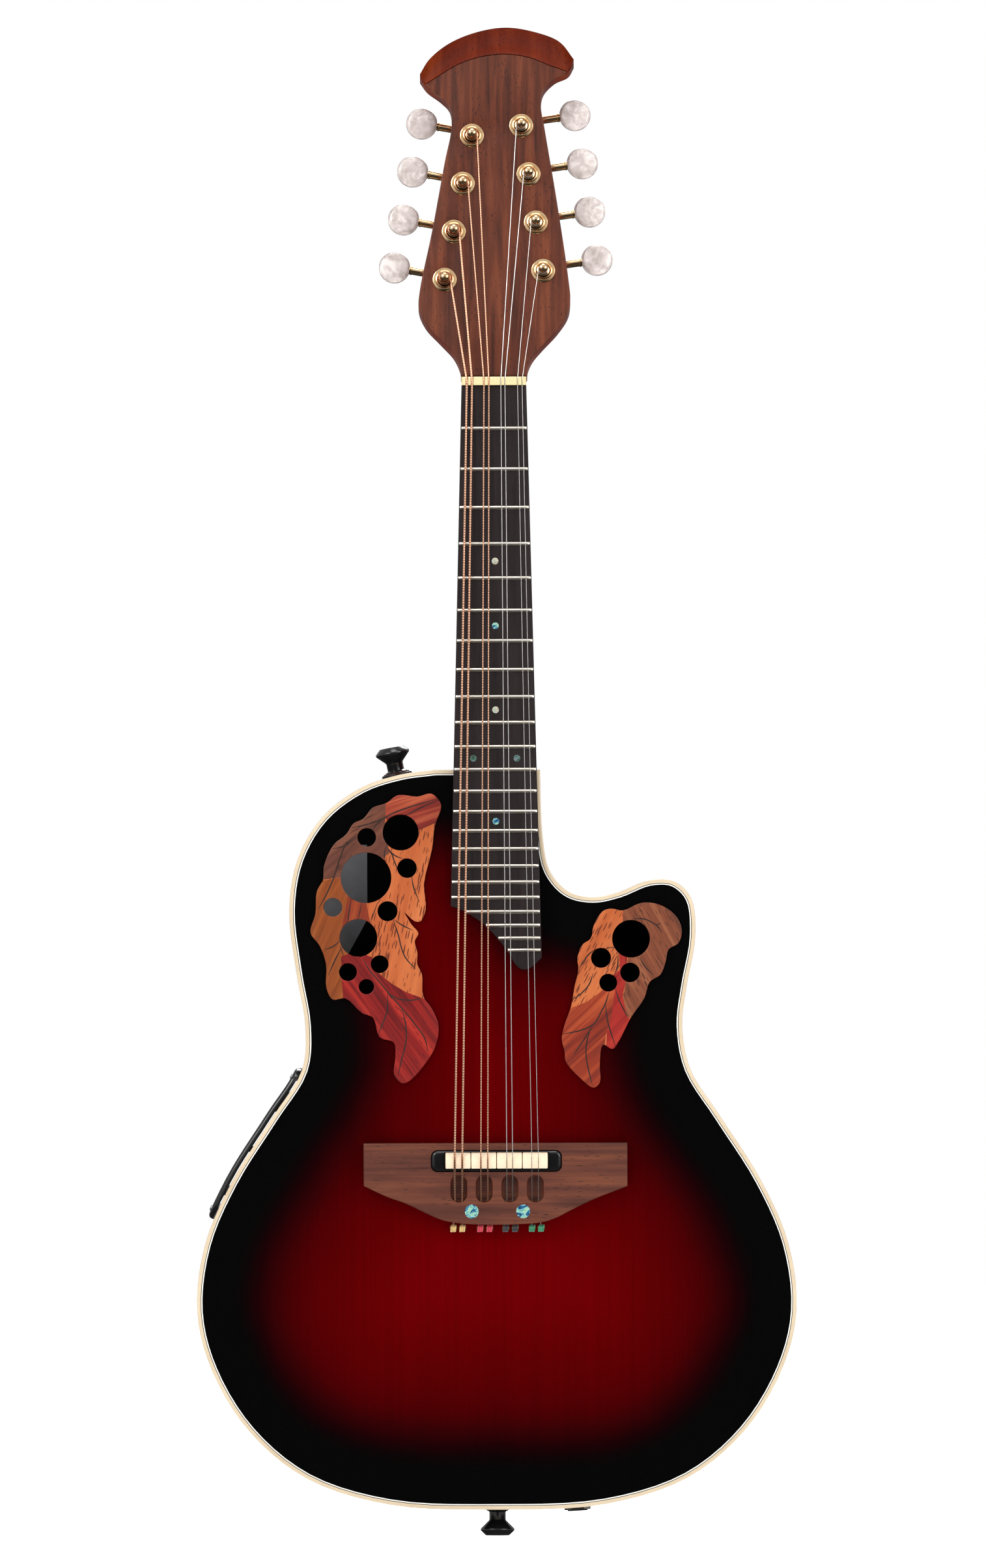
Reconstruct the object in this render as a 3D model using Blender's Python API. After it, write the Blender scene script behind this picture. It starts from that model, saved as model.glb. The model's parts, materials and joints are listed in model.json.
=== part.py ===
"""A round-back, cutaway, eight-string mandolin-family instrument, as the pieces it is built from.

Every length is in millimetres until add_object turns it into metres. The object stands on end: +Z runs up
the neck, the soundboard faces -Y, and the origin is the middle of the flat end of the lower strap button.
Outlines are drawn in the plane of the soundboard as (across, up), and heights stand forward of that plane.
"""

import math

import bmesh
import bpy
from mathutils import Matrix, Vector

MM = 0.001
GAP = 0.3

# Playing length and neck
SCALE_LENGTH = 355.6
NUT_FACE = 532.4
NUT_THICKNESS = 4.2
NUT_WIDTH = 30.0
BODY_FRET = 12
BODY_JOINT = NUT_FACE - SCALE_LENGTH * (1 - 2 ** (-BODY_FRET / 12))
WIDTH_AT_BODY = 38.5
NECK_DEPTH_AT_NUT = 13.0
NECK_DEPTH_AT_BODY = 15.0
HEEL_DEPTH = 34.0
FINGERBOARD_THICKNESS = 5.5
TRUSS_ROD = (5.6, 160.0, 8.2)
TRUSS_ROD_CENTRE = (0.0, 446.0, -4.4)
ROD_CHANNEL = (6.4, 166.0, 9.4)
ROD_CHANNEL_CENTRE = (0.0, 446.0, -4.2)

# Body
SOUNDBOARD_Y = -16.0
SOUNDBOARD_THICKNESS = 2.5
BINDING_WIDTH = 1.8
BOWL_DEPTH = 60.0
BOWL_WALL = 2.5
BOWL_FULLNESS = 2.8
BOWL_TURNS = (4, 11, 21, 33, 47, 62, 78)
BOWL_CENTRE = Vector((0.0, 213.0))
BOWL_RIM = -SOUNDBOARD_THICKNESS - GAP
LEDGE_WIDTH = 7.0
LEDGE_THICKNESS = 4.0
PANEL_THICKNESS = 1.2
BUTTON_SEAT_RADIUS = 7.0
JACK_SEAT_RADIUS = 9.0
BUTTON_DRILL_RADIUS = 2.4
JACK_DRILL_RADIUS = 5.2

# Headstock
HEAD_TILT = math.radians(12)
VENEER_THICKNESS = 1.5
HEAD_THICKNESS = 15.0
CROWN_RISE = 6.5
POST_BORE_RADIUS = 3.5

# Strings: across the nut, across the saddle, across the bridge's tail and their radii, lowest course first
NUT_SPOTS = (-12.5, -10.1, -4.6, -2.3, 3.2, 5.1, 10.9, 13.0)
SADDLE_SPOTS = (-19.3, -15.8, -7.2, -4.0, 4.8, 7.5, 16.4, 19.4)
ANCHOR_SPOTS = (-19.9, -15.8, -7.5, -3.3, 4.3, 8.5, 16.4, 20.5)
STRING_RADII = (0.50, 0.50, 0.33, 0.33, 0.20, 0.20, 0.15, 0.15)
STRING_HEIGHT_AT_NUT = 7.4
STRING_HEIGHT_AT_SADDLE = 11.6
SADDLE_CREST = 174.0
BALL_TOP = 143.9
BALL_RADIUS = 1.7
BALL_LENGTH = 2.8

# Bridge
BRIDGE_HEIGHT = 7.6
POCKET_CENTRES = (-17.4, -5.7, 6.2, 18.0)
POCKET_WIDTH = 7.5
POCKET_ENDS = (154.5, 166.9)
POCKET_FLOOR = 3.0
POCKET_ENTRY = 156.4
ANCHOR_HEIGHT = 4.45
TRAY_SIZE = (60.2, 9.7)
TRAY_CENTRE = (0.0, 173.6)
TRAY_FLOOR = 3.4
TRAY_TOP = 8.4

# Tuning machines: four worm drives on each strip
POST_SPACING = 23.2
POST_STARTS = {"bass": (-22.6, 46.0), "treble": (23.0, 50.1)}
EDGE_TILTS = {"bass": math.radians(10.6), "treble": math.radians(-8.2)}
SHAFT_REACHES = {"bass": 24.7, "treble": 26.0}
PLATE_THICKNESS = 1.2
GEAR_TEETH = 14
GEAR_PITCH_RADIUS = 3.8
GEAR_DEPTH = 2.6
GEAR_CENTRE = 19.0
WORM_PITCH_RADIUS = 1.8
CENTRE_DISTANCE = GEAR_PITCH_RADIUS + WORM_PITCH_RADIUS
WORM_PITCH = 2 * math.pi * GEAR_PITCH_RADIUS / GEAR_TEETH
SHAFT_RADIUS = 1.8
BUTTON_RADIUS = 7.25
BUTTON_THICKNESS = 6.0

# Control panel let into the bass side of the bowl
CONTROL_ENDS = (146.5, 216.0)
CONTROL_WIDTH = 34.0
CONTROL_DEPTH = 19.0
CONTROL_PROUD = 3.2
BEZEL_LENGTH = 79.0
BEZEL_CORNER = 8.0
MODULE_SIZE = (60.4, 16.4)
MODULE_FACE = -1.5
MODULE_DEPTH = 24.0
SLIDER_TRAVEL = 9.0
SLIDER_ROWS = {"bass_slider": -4.4, "treble_slider": 4.4}
SLIDER_SPOT = -4.0
KNOB_SPOT = 22.5
SWITCH_SPOT = -26.0

# Strap buttons and jack
STRAP_BUTTON_AXIS = -16.0
STRAP_BUTTON_LENGTH = 12.3
JACK_SPOT = 37.0

# Outlines, (across, up). Every run is a smooth curve through its points.
SHOULDER = (
    (-28, 354.7), (-44, 352.5), (-62, 346.5), (-80, 333), (-91.5, 313.5),
    (-95.5, 290), (-92.3, 261), (-88.2, 236),
)
LOWER_BOUT = (
    (89.8, 216), (103.6, 194), (122.3, 164.5), (135, 135), (138.7, 104),
    (132, 77), (114.6, 48.5), (88, 26.6), (50, 14.6),
)
CUTAWAY = (
    (86.2, 236), (88.3, 254), (92.4, 277), (90.5, 295), (82.5, 302.8),
    (71, 303.2), (57, 297.8), (45, 295.5), (33.5, 298.2), (25, 308), (21.8, 325), (20.8, 354.7),
)
FINGERBOARD_END = (
    (-14.6, 289.2), (-6, 283.5), (-0.2, 277.7), (5.1, 271), (8.5, 265.3), (11.4, 262.4),
    (15.2, 262.4), (18.1, 264.4),
)
FINGERBOARD_CORNERS = (291.6, 267.7)
BASS_LEAF = (
    (-37.4, 284.6), (-42, 288.5), (-40.2, 285.2), (-38.8, 283.0), (-35.7, 279), (-37.4, 275.4), (-36.2, 270),
    (-36.3, 264.8), (-34.1, 259.9), (-33.6, 250), (-29.6, 244.2), (-26.5, 236), (-28.1, 226.5), (-32, 219.7),
    (-39.8, 210.9), (-43.5, 209.6), (-47.2, 213.5), (-46.6, 222), (-47.3, 228.5), (-53.9, 231), (-56.8, 240),
    (-62, 242.2), (-69.5, 249), (-75.5, 248.5), (-78.4, 254), (-78.5, 264.8), (-81.5, 273.5), (-85.7, 279.5),
    (-83.4, 288), (-82.7, 298.5), (-79.8, 304), (-79.3, 310.5), (-74.8, 320.2), (-69, 325), (-65.6, 330),
    (-61, 332.2), (-56.8, 337.2), (-50.3, 339.4), (-45, 343), (-36, 342.3), (-29.5, 343.6), (-25, 338.5),
    (-28, 328.5), (-29.3, 318), (-33, 302), (-32.3, 290.3), (-34.7, 284.6),
)
TREBLE_LEAF = (
    (53.5, 290.2), (49.5, 288.9), (45.4, 282.5), (43.9, 276.3), (40.2, 273.6), (37.8, 267.5), (38.2, 262),
    (36.5, 254.5), (34.6, 244.4), (31.9, 237), (30.4, 230), (31.7, 224), (32.2, 219.5), (39.5, 211.2),
    (45, 207.3), (48, 209.8), (48, 218), (49.5, 227.2), (54, 225.2), (57.2, 229.5), (62.4, 239.6),
    (68.7, 248.8), (71.2, 256.2), (76.2, 259.6), (78.6, 265.5), (80, 271.2), (84.6, 274.2), (86.1, 280.5),
    (83, 287.2), (75.6, 292), (67.5, 292.8), (58.8, 289.3),
)
BASS_HOLES = (
    (-43.8, 325.7, 8.3), (-59.9, 304.8, 11.7), (-63.5, 277.0, 8.7), (-59.5, 323.5, 4.3), (-40.9, 309.2, 4.5),
    (-75.3, 291.2, 4.3), (-50.0, 289.3, 4.6), (-68.4, 261.2, 4.1), (-53.7, 264.8, 4.1), (-59.9, 254.4, 3.5),
)
TREBLE_HOLES = ((62.6, 276.2, 8.7), (48.7, 267.4, 4.6), (62.1, 260.6, 4.5), (52.0, 255.9, 4.1))
BRIDGE_SWEEP = (
    (-61.4, 162.2), (-51, 157.3), (-42, 154), (-33, 149.7), (-26, 146.6), (-20, 145.2),
    (-10, 144.3), (10, 144.3), (21, 145.2), (27, 147), (35, 151), (45, 155.8), (60.6, 161.8),
)

# Headstock outline, (across, up the tilted face from the nut)
HEAD_BASS_EDGE = (
    (-15.2, 0.4), (-15.5, 4), (-18.4, 10.6), (-24.6, 17.6), (-31.3, 25), (-34.6, 32.5), (-34.2, 40.5),
    (-28.4, 69), (-22.4, 102), (-19.3, 118), (-20, 128), (-24, 132.6), (-30.5, 137.6), (-33.8, 142.2),
)
CROWN = (
    (-33.8, 142.2), (-29.6, 149.1), (-20.6, 156.6), (-8, 162),
    (6, 164.3), (20, 162), (31, 157.4), (37.5, 149.1),
)
HEAD_TREBLE_EDGE = (
    (37.5, 149.1), (35, 144.8), (28.6, 141.6), (23.4, 136), (22.2, 129), (24, 117), (29.4, 83.5), (34.7, 46),
    (35.5, 36.5), (34.4, 30), (29.5, 22.4), (22, 14.2), (17.8, 9), (15.7, 4), (15.4, 0.4),
)
SCOOP_FOOT = (
    (-31, 139.2), (-24, 143.8), (-15, 149), (-5, 152.2), (6, 153.3), (17, 151.6), (26, 148), (34.4, 145),
)

# Braces: start, end, width and height of each bar under the soundboard
BRACES = (
    ((-14, 336), (-62, 42), 6.0, 9.0), ((4, 330), (62, 42), 6.0, 9.1),
    ((-26, 240), (26, 240), 7.0, 7.0), ((-94, 122), (94, 122), 6.0, 6.0),
)

# Heel: stations up the neck, and the share of the heel's full depth that the neck has there
HEEL_STATIONS = ((344, 1.0), (357, 1.0), (361, 0.9), (366, 0.66), (373, 0.36), (382, 0.13), (394, 0.0))


def clear_scene():
    for thing in list(bpy.data.objects):
        bpy.data.objects.remove(thing, do_unlink=True)


def make_material(name, colour, roughness, metallic=0.0):
    material = bpy.data.materials.new(name)
    material.use_nodes = True
    shader = material.node_tree.nodes["Principled BSDF"]
    shader.inputs["Base Color"].default_value = (*colour, 1.0)
    shader.inputs["Roughness"].default_value = roughness
    shader.inputs["Metallic"].default_value = metallic
    material.diffuse_color = (*colour, 1.0)
    return material


def make_frame(origin, across, up, forward):
    """A placement whose origin is in millimetres and whose axes are unit vectors."""
    frame = Matrix((across, up, forward)).transposed().to_4x4()
    frame.translation = Vector(origin) * MM
    return frame


def at(frame, across, up, forward):
    """The point of a frame, in world millimetres."""
    return (frame @ (Vector((across, up, forward)) * MM)) / MM


BODY = make_frame((0, SOUNDBOARD_Y, 0), (1, 0, 0), (0, 0, 1), (0, -1, 0))
HEAD = make_frame(
    at(BODY, 0, NUT_FACE + NUT_THICKNESS, VENEER_THICKNESS),
    (1, 0, 0),
    (0, math.sin(HEAD_TILT), math.cos(HEAD_TILT)),
    (0, -math.cos(HEAD_TILT), math.sin(HEAD_TILT)),
)


# Curves and rings


def smooth(points, steps):
    """An open centripetal Catmull-Rom curve through the points, with steps segments between each two."""
    points = [Vector(point) for point in points]
    run = [2 * points[0] - points[1], *points, 2 * points[-1] - points[-2]]
    curve = []
    for p0, p1, p2, p3 in zip(run, run[1:], run[2:], run[3:]):
        t0 = 0.0
        t1 = t0 + math.sqrt((p1 - p0).length)
        t2 = t1 + math.sqrt((p2 - p1).length)
        t3 = t2 + math.sqrt((p3 - p2).length)
        for step in range(steps):
            t = t1 + (t2 - t1) * step / steps
            a1 = p0.lerp(p1, (t - t0) / (t1 - t0))
            a2 = p1.lerp(p2, (t - t1) / (t2 - t1))
            a3 = p2.lerp(p3, (t - t2) / (t3 - t2))
            b1 = a1.lerp(a2, (t - t0) / (t2 - t0))
            b2 = a2.lerp(a3, (t - t1) / (t3 - t1))
            curve.append(b1.lerp(b2, (t - t1) / (t2 - t1)))
    curve.append(points[-1])
    return curve


def closed_smooth(points, steps):
    """The same curve, closed: its ends run on through their neighbours."""
    points = list(points)
    lapped = smooth(points[-2:] + points + points[:2], steps)
    return lapped[2 * steps : (len(points) + 2) * steps]


def circle(radius, sides, centre=(0.0, 0.0), height=None):
    turns = [2 * math.pi * side / sides for side in range(sides)]
    spots = [(centre[0] + radius * math.cos(turn), centre[1] + radius * math.sin(turn)) for turn in turns]
    return [Vector(spot) if height is None else Vector((*spot, height)) for spot in spots]


def rounded_box(width, height, radius, centre=(0.0, 0.0), corner_steps=3):
    """A rectangle with round corners, anticlockwise from its lower right corner."""
    points = []
    for quarter, (sx, sy) in enumerate(((1, -1), (1, 1), (-1, 1), (-1, -1))):
        middle = Vector((centre[0] + sx * (width / 2 - radius), centre[1] + sy * (height / 2 - radius)))
        for step in range(corner_steps + 1):
            turn = math.radians(90) * (quarter - 1 + step / corner_steps)
            points.append(middle + radius * Vector((math.cos(turn), math.sin(turn))))
    return points


def inset(outline, distance):
    """A closed outline moved inwards by a distance, with mitred corners."""
    area = sum(a.x * b.y - b.x * a.y for a, b in zip(outline, outline[1:] + outline[:1]))
    side = 1 if area > 0 else -1
    shifted = []
    for before, here, after in zip(outline[-1:] + outline[:-1], outline, outline[1:] + outline[:1]):
        first = (here - before).normalized()
        second = (after - here).normalized()
        normal = Vector((-(first + second).y, (first + second).x)).normalized() * side
        lean = max(0.5, normal.dot(Vector((-first.y, first.x)) * side))
        shifted.append(here + normal * distance / lean)
    return shifted


def raised(outline, height):
    return [Vector((point.x, point.y, height)) for point in outline]


# Meshes


def loft(rings, loop=False):
    """A closed skin over rings of equal count, flat at both ends or running round into itself."""
    bm = bmesh.new()
    rows = [[bm.verts.new(point) for point in ring] for ring in rings]
    pairs = list(zip(rows, rows[1:]))
    if loop:
        pairs.append((rows[-1], rows[0]))
    else:
        bm.faces.new(rows[0])
        bm.faces.new(rows[-1])
    for lower, upper in pairs:
        for i in range(len(lower)):
            j = (i + 1) % len(lower)
            bm.faces.new((lower[i], lower[j], upper[j], upper[i]))
    bmesh.ops.recalc_face_normals(bm, faces=bm.faces)
    return bm


def turned(profile, sides):
    """A turned piece: (radius, height) pairs from one end of its axis to the other."""
    return loft([circle(radius, sides, height=height) for radius, height in profile])


def plate(outlines, low, high):
    """A flat plate between two heights: the first outline is its edge and the others are holes."""
    curve = bpy.data.curves.new("outline", "CURVE")
    curve.dimensions = "2D"
    curve.fill_mode = "BOTH"
    curve.extrude = (high - low) / 2
    for outline in outlines:
        line = curve.splines.new("POLY")
        line.points.add(len(outline) - 1)
        for spot, point in zip(line.points, outline):
            spot.co = (point.x, point.y, 0.0, 1.0)
        line.use_cyclic_u = True
    guide = bpy.data.objects.new("outline", curve)
    mesh = bpy.data.meshes.new_from_object(guide)
    bm = bmesh.new()
    bm.from_mesh(mesh)
    bmesh.ops.translate(bm, verts=bm.verts, vec=(0, 0, (low + high) / 2))
    bmesh.ops.remove_doubles(bm, verts=bm.verts, dist=0.001)
    bmesh.ops.recalc_face_normals(bm, faces=bm.faces)
    bpy.data.objects.remove(guide)
    bpy.data.curves.remove(curve)
    bpy.data.meshes.remove(mesh)
    return bm


def block(size, centre):
    bm = bmesh.new()
    bmesh.ops.create_cube(bm, size=1.0, matrix=Matrix.LocRotScale(Vector(centre), None, Vector(size)))
    return bm


def tube(points, radii, sides):
    """A round bar along a path in the soundboard's up direction, with its own radius at each point."""
    rings = []
    for i, (point, radius) in enumerate(zip(points, radii)):
        along = (points[min(i + 1, len(points) - 1)] - points[max(i - 1, 0)]).normalized()
        across = along.cross(Vector((0, 1, 0))).normalized()
        upward = across.cross(along)
        turns = [2 * math.pi * side / sides for side in range(sides)]
        rings.append([point + radius * (math.cos(t) * across + math.sin(t) * upward) for t in turns])
    return loft(rings)


def moved(bm, matrix):
    """The same shape after a placement given in millimetres."""
    bmesh.ops.transform(bm, matrix=matrix, verts=bm.verts)
    return bm


def joined(*parts):
    """Separate shapes in one mesh, for a cutter or a union."""
    whole = parts[0]
    for part in parts[1:]:
        spare = bpy.data.meshes.new("spare")
        part.to_mesh(spare)
        part.free()
        whole.from_mesh(spare)
        bpy.data.meshes.remove(spare)
    return whole


# Objects


def place_mesh(name, mesh, material, frame):
    thing = bpy.data.objects.new(name, mesh)
    bpy.context.collection.objects.link(thing)
    if material is not None and not mesh.materials:
        mesh.materials.append(material)
    thing.matrix_world = frame
    return thing


def add_object(name, bm, material, frame=BODY):
    mesh = bpy.data.meshes.new(name)
    bm.to_mesh(mesh)
    bm.free()
    mesh.transform(Matrix.Scale(MM, 4))
    mesh.shade_smooth()
    mesh.set_sharp_from_angle(angle=math.radians(35))
    return place_mesh(name, mesh, material, frame)


def combine(target, bm, operation):
    """Cuts a shape out of an object or adds it, in the object's own frame."""
    tool = add_object(target.name + "_tool", bm, None, target.matrix_world)
    bpy.context.view_layer.update()
    change = target.modifiers.new(operation.lower(), "BOOLEAN")
    change.operation = operation
    change.object = tool
    graph = bpy.context.evaluated_depsgraph_get()
    result = bpy.data.meshes.new_from_object(target.evaluated_get(graph))
    target.modifiers.clear()
    old = target.data
    target.data = result
    bpy.data.meshes.remove(old)
    bpy.data.objects.remove(tool)
    target.data.shade_smooth()
    target.data.set_sharp_from_angle(angle=math.radians(35))


def cut(target, bm):
    combine(target, bm, "DIFFERENCE")


def add(target, bm):
    combine(target, bm, "UNION")


# Body shell


def body_outline():
    """The body's edge, from the neck down the bass side, round the bottom and up the cutaway."""
    bass_bout = [(-across, up) for across, up in LOWER_BOUT]
    treble_bout = list(reversed(LOWER_BOUT))
    return smooth((*SHOULDER, *bass_bout, (0, 12.2), *treble_bout, *CUTAWAY), 2)


def depth_taper(up):
    """The bowl is deepest behind the lower bout and shallowest at the neck."""
    return 1.05 - 0.24 * up / BODY_JOINT


def bowl_ring(outline, turn, wall):
    """One ring of the bowl, from its rim at a turn of 0 to its back at 90 degrees."""
    scale = math.cos(turn) ** (2 / BOWL_FULLNESS)
    sink = math.sin(turn) ** (2 / BOWL_FULLNESS)
    ring = []
    for point in inset(outline, wall):
        spot = BOWL_CENTRE + (point - BOWL_CENTRE) * scale
        depth = sink * (BOWL_DEPTH - wall) * depth_taper(spot.y)
        ring.append(Vector((spot.x, spot.y, BOWL_RIM - depth)))
    return ring


def bowl_skin(outline, wall, turns):
    return [bowl_ring(outline, math.radians(turn), wall) for turn in turns]


def wall_point(up, depth, proud=0.0):
    """A point of the bowl's bass wall, by its height up the rim and its depth behind the rim."""
    run = [point for point in body_outline() if point.x < 0]
    index = next(i for i, point in enumerate(run) if point.y < up)
    high, low = run[index - 1], run[index]
    rim = low.lerp(high, (up - low.y) / (high.y - low.y))

    def surface(base, sink):
        scale = 1.0
        for _ in range(4):
            spot = BOWL_CENTRE + (base - BOWL_CENTRE) * scale
            full = BOWL_DEPTH * depth_taper(spot.y)
            scale = (1 - (sink / full) ** BOWL_FULLNESS) ** (1 / BOWL_FULLNESS)
        return Vector((spot.x, spot.y, BOWL_RIM - sink))

    along = surface(high, depth) - surface(low, depth)
    inward = surface(rim, depth + 0.5) - surface(rim, depth - 0.5)
    normal = along.cross(inward).normalized()
    if normal.x > 0:
        normal = -normal
    return surface(rim, depth) + normal * proud


def control_frame():
    """The control panel's placement: across along the wall towards the neck, forward out of the wall."""
    low = wall_point(160.0, CONTROL_DEPTH)
    high = wall_point(203.0, CONTROL_DEPTH)
    middle = wall_point(sum(CONTROL_ENDS) / 2, CONTROL_DEPTH)
    across = (high - low).normalized()
    inward = wall_point(181.0, CONTROL_DEPTH + 6) - wall_point(181.0, CONTROL_DEPTH - 6)
    outward = across.cross(inward).normalized()
    if outward.x > 0:
        outward = -outward
    up = outward.cross(across)
    turn = BODY.to_3x3()
    return make_frame(at(BODY, *middle), turn @ across, turn @ up, turn @ outward)


def boss(frame, radius):
    """A flat round seat moulded through the bowl's wall."""
    return moved(turned(((radius, -6.0), (radius, 0.0)), 20), local_to_body(frame))


def local_to_body(frame):
    """A placement inside the body's frame, in millimetres."""
    local = BODY.inverted() @ frame
    local.translation = local.translation / MM
    return local


def hardware_frame(across, up, height, lean):
    """A frame in the body's edge whose forward axis leaves the body, leaning from straight down or up."""
    outward = Vector((math.sin(lean), -math.cos(lean), 0.0))
    sideways = Vector((math.cos(lean), math.sin(lean), 0.0))
    forward = outward.cross(sideways)
    turn = BODY.to_3x3()
    return make_frame(at(BODY, across, up, height), turn @ sideways, turn @ forward, turn @ outward)


END_BUTTON = hardware_frame(0.0, STRAP_BUTTON_LENGTH, STRAP_BUTTON_AXIS, 0.0)
SHOULDER_BUTTON = hardware_frame(-45.6, 353.0, STRAP_BUTTON_AXIS, math.radians(180 + 11.5))
JACK = hardware_frame(JACK_SPOT, 13.9, -24.0, math.radians(3))


def add_bowl(material):
    outline = body_outline()
    outer = bowl_skin(outline, 0.0, (0, *BOWL_TURNS))
    inner = bowl_skin(outline, BOWL_WALL, BOWL_TURNS)
    ledge = inset(outline, LEDGE_WIDTH)
    under = inset(outline, BOWL_WALL)
    ledge_foot = BOWL_RIM - LEDGE_THICKNESS
    rings = [*reversed(outer), raised(ledge, BOWL_RIM), raised(ledge, ledge_foot), raised(under, ledge_foot)]
    rings += [ring for ring in inner if ring[0].z < ledge_foot]
    bowl = add_object("bowl", loft(rings), material)
    buttons = (END_BUTTON, SHOULDER_BUTTON)
    add(bowl, joined(*[boss(place, BUTTON_SEAT_RADIUS) for place in buttons], boss(JACK, JACK_SEAT_RADIUS)))
    holes = [boss_hole(place, BUTTON_DRILL_RADIUS) for place in buttons]
    holes.append(boss_hole(JACK, JACK_DRILL_RADIUS))
    window = block((MODULE_SIZE[0] + 0.8, MODULE_SIZE[1] + 0.8, 20.0), (0, 0, 0))
    cut(bowl, joined(*holes, moved(window, local_to_body(control_frame()))))
    return bowl


def boss_hole(frame, radius):
    return moved(turned(((radius, -14.0), (radius, 4.0)), 16), local_to_body(frame))


def body_cutter(clearance):
    """The outside of the whole body, a little oversize, for seating the neck's heel against it."""
    outline = inset(body_outline(), -clearance)
    rings = bowl_skin(outline, 0.0, (0, *BOWL_TURNS))
    lowered = [[Vector((p.x, p.y, p.z - clearance)) for p in ring] for ring in rings[1:]]
    return loft([raised(outline, 4.0), raised(outline, -2.0), *lowered])


def add_soundboard(material):
    edge = inset(body_outline(), BINDING_WIDTH + GAP)
    holes = [circle(radius, 20 if radius > 6 else 14, (x, y)) for x, y, radius in BASS_HOLES + TREBLE_HOLES]
    return add_object("soundboard", plate([edge, *holes], -SOUNDBOARD_THICKNESS, 0.0), material)


def add_braces(material):
    """Two long bars and two cross bars glued together under the soundboard."""
    top = -SOUNDBOARD_THICKNESS - GAP

    def bar(start, end, width, height):
        run = Vector(end) - Vector(start)
        middle = (Vector(start) + Vector(end)) / 2
        turn = Matrix.Rotation(math.atan2(run.y, run.x), 4, "Z")
        place = Matrix.Translation((middle.x, middle.y, top - height / 2)) @ turn
        return moved(block((run.length, width, height), (0, 0, 0)), place)

    braces = add_object("soundboard_braces", bar(*BRACES[0]), material)
    for brace in BRACES[1:]:
        add(braces, bar(*brace))
    return braces


def add_binding(material):
    outline = body_outline()
    inner = inset(outline, BINDING_WIDTH)
    low, high = -SOUNDBOARD_THICKNESS, 0.0
    rings = [raised(outline, low), raised(outline, high), raised(inner, high), raised(inner, low)]
    return add_object("binding", loft(rings, loop=True), material)


def add_leaf(name, points, holes, material):
    edge = closed_smooth(points, 1)
    rims = [circle(radius - 0.3, 20 if radius > 6 else 14, (x, y)) for x, y, radius in holes]
    return add_object(name, plate([edge, *rims], GAP, GAP + PANEL_THICKNESS), material)


# Neck


def board_edge(up):
    """Half the fingerboard's width at a height up the neck."""
    slope = (WIDTH_AT_BODY - NUT_WIDTH) / 2 / (NUT_FACE - BODY_JOINT)
    return NUT_WIDTH / 2 + slope * (NUT_FACE - up)


def neck_section(up, top, depth, width):
    """A flat-topped section with a round back."""
    ring = [Vector((-width / 2, up, top)), Vector((0, up, top)), Vector((width / 2, up, top))]
    for step in range(1, 10):
        turn = math.pi * step / 10
        across = width / 2 * math.copysign(abs(math.cos(turn)) ** 0.85, math.cos(turn))
        ring.append(Vector((across, up, top - depth * math.sin(turn) ** 0.9)))
    return ring


def neck_shaft():
    """The neck from inside the body line to inside the headstock, with the heel sweeping back."""
    rings = []
    for up, share in HEEL_STATIONS:
        depth = NECK_DEPTH_AT_BODY + (HEEL_DEPTH - NECK_DEPTH_AT_BODY) * share
        rings.append(neck_section(up, 0.0, depth, 2 * board_edge(up) - 0.6))
    for up in (440, 490, 528):
        share = (up - BODY_JOINT) / (NUT_FACE - BODY_JOINT)
        depth = NECK_DEPTH_AT_BODY + (NECK_DEPTH_AT_NUT - NECK_DEPTH_AT_BODY) * share
        rings.append(neck_section(up, 0.0, depth, 2 * board_edge(up) - 0.6))
    end = NUT_FACE + NUT_THICKNESS
    rings.append(neck_section(end - 0.2, -0.1, NECK_DEPTH_AT_NUT, 30.2))
    rings.append(neck_section(end + 9, -5.5, 9.0, 28.0))
    return loft(rings)


def head_outline(steps=2):
    return smooth(HEAD_BASS_EDGE, steps)[:-1] + smooth(CROWN, steps)[:-1] + smooth(HEAD_TREBLE_EDGE, steps)


def crown_lip():
    """The raised rim of the crown, hollowed towards the face in front of it."""
    stations = 12
    foot = resampled(smooth(SCOOP_FOOT, 4), stations)
    crest = resampled(smooth(CROWN, 4), stations)
    rings = []
    for inner, outer in zip(foot, crest):
        ring = [Vector((*inner, -3.0)), Vector((*inner, 0.2))]
        for share, rise in ((0.4, 0.14), (0.75, 0.5), (0.95, 0.95)):
            ring.append(Vector((*inner.lerp(outer, share), CROWN_RISE * rise)))
        ring += [Vector((*outer, CROWN_RISE)), Vector((*outer, -3.0))]
        rings.append(ring)
    return loft(rings)


def resampled(points, count):
    """The same open line with evenly spaced points."""
    lengths = [0.0]
    for a, b in zip(points, points[1:]):
        lengths.append(lengths[-1] + (b - a).length)
    spots = []
    for k in range(count):
        target = lengths[-1] * k / (count - 1)
        i = max(1, next(j for j, length in enumerate(lengths) if length >= target - 1e-6))
        share = (target - lengths[i - 1]) / (lengths[i] - lengths[i - 1])
        spots.append(points[i - 1].lerp(points[i], share))
    return spots


def head_to_body(bm):
    return moved(bm, local_to_body(HEAD))


def post_spots(side):
    """The four posts of a strip, from the nut end up, in the headstock's frame."""
    start = Vector(POST_STARTS[side])
    tilt = EDGE_TILTS[side]
    step = Vector((math.sin(tilt), math.cos(tilt))) * POST_SPACING
    return [start + step * number for number in range(4)]


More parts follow.
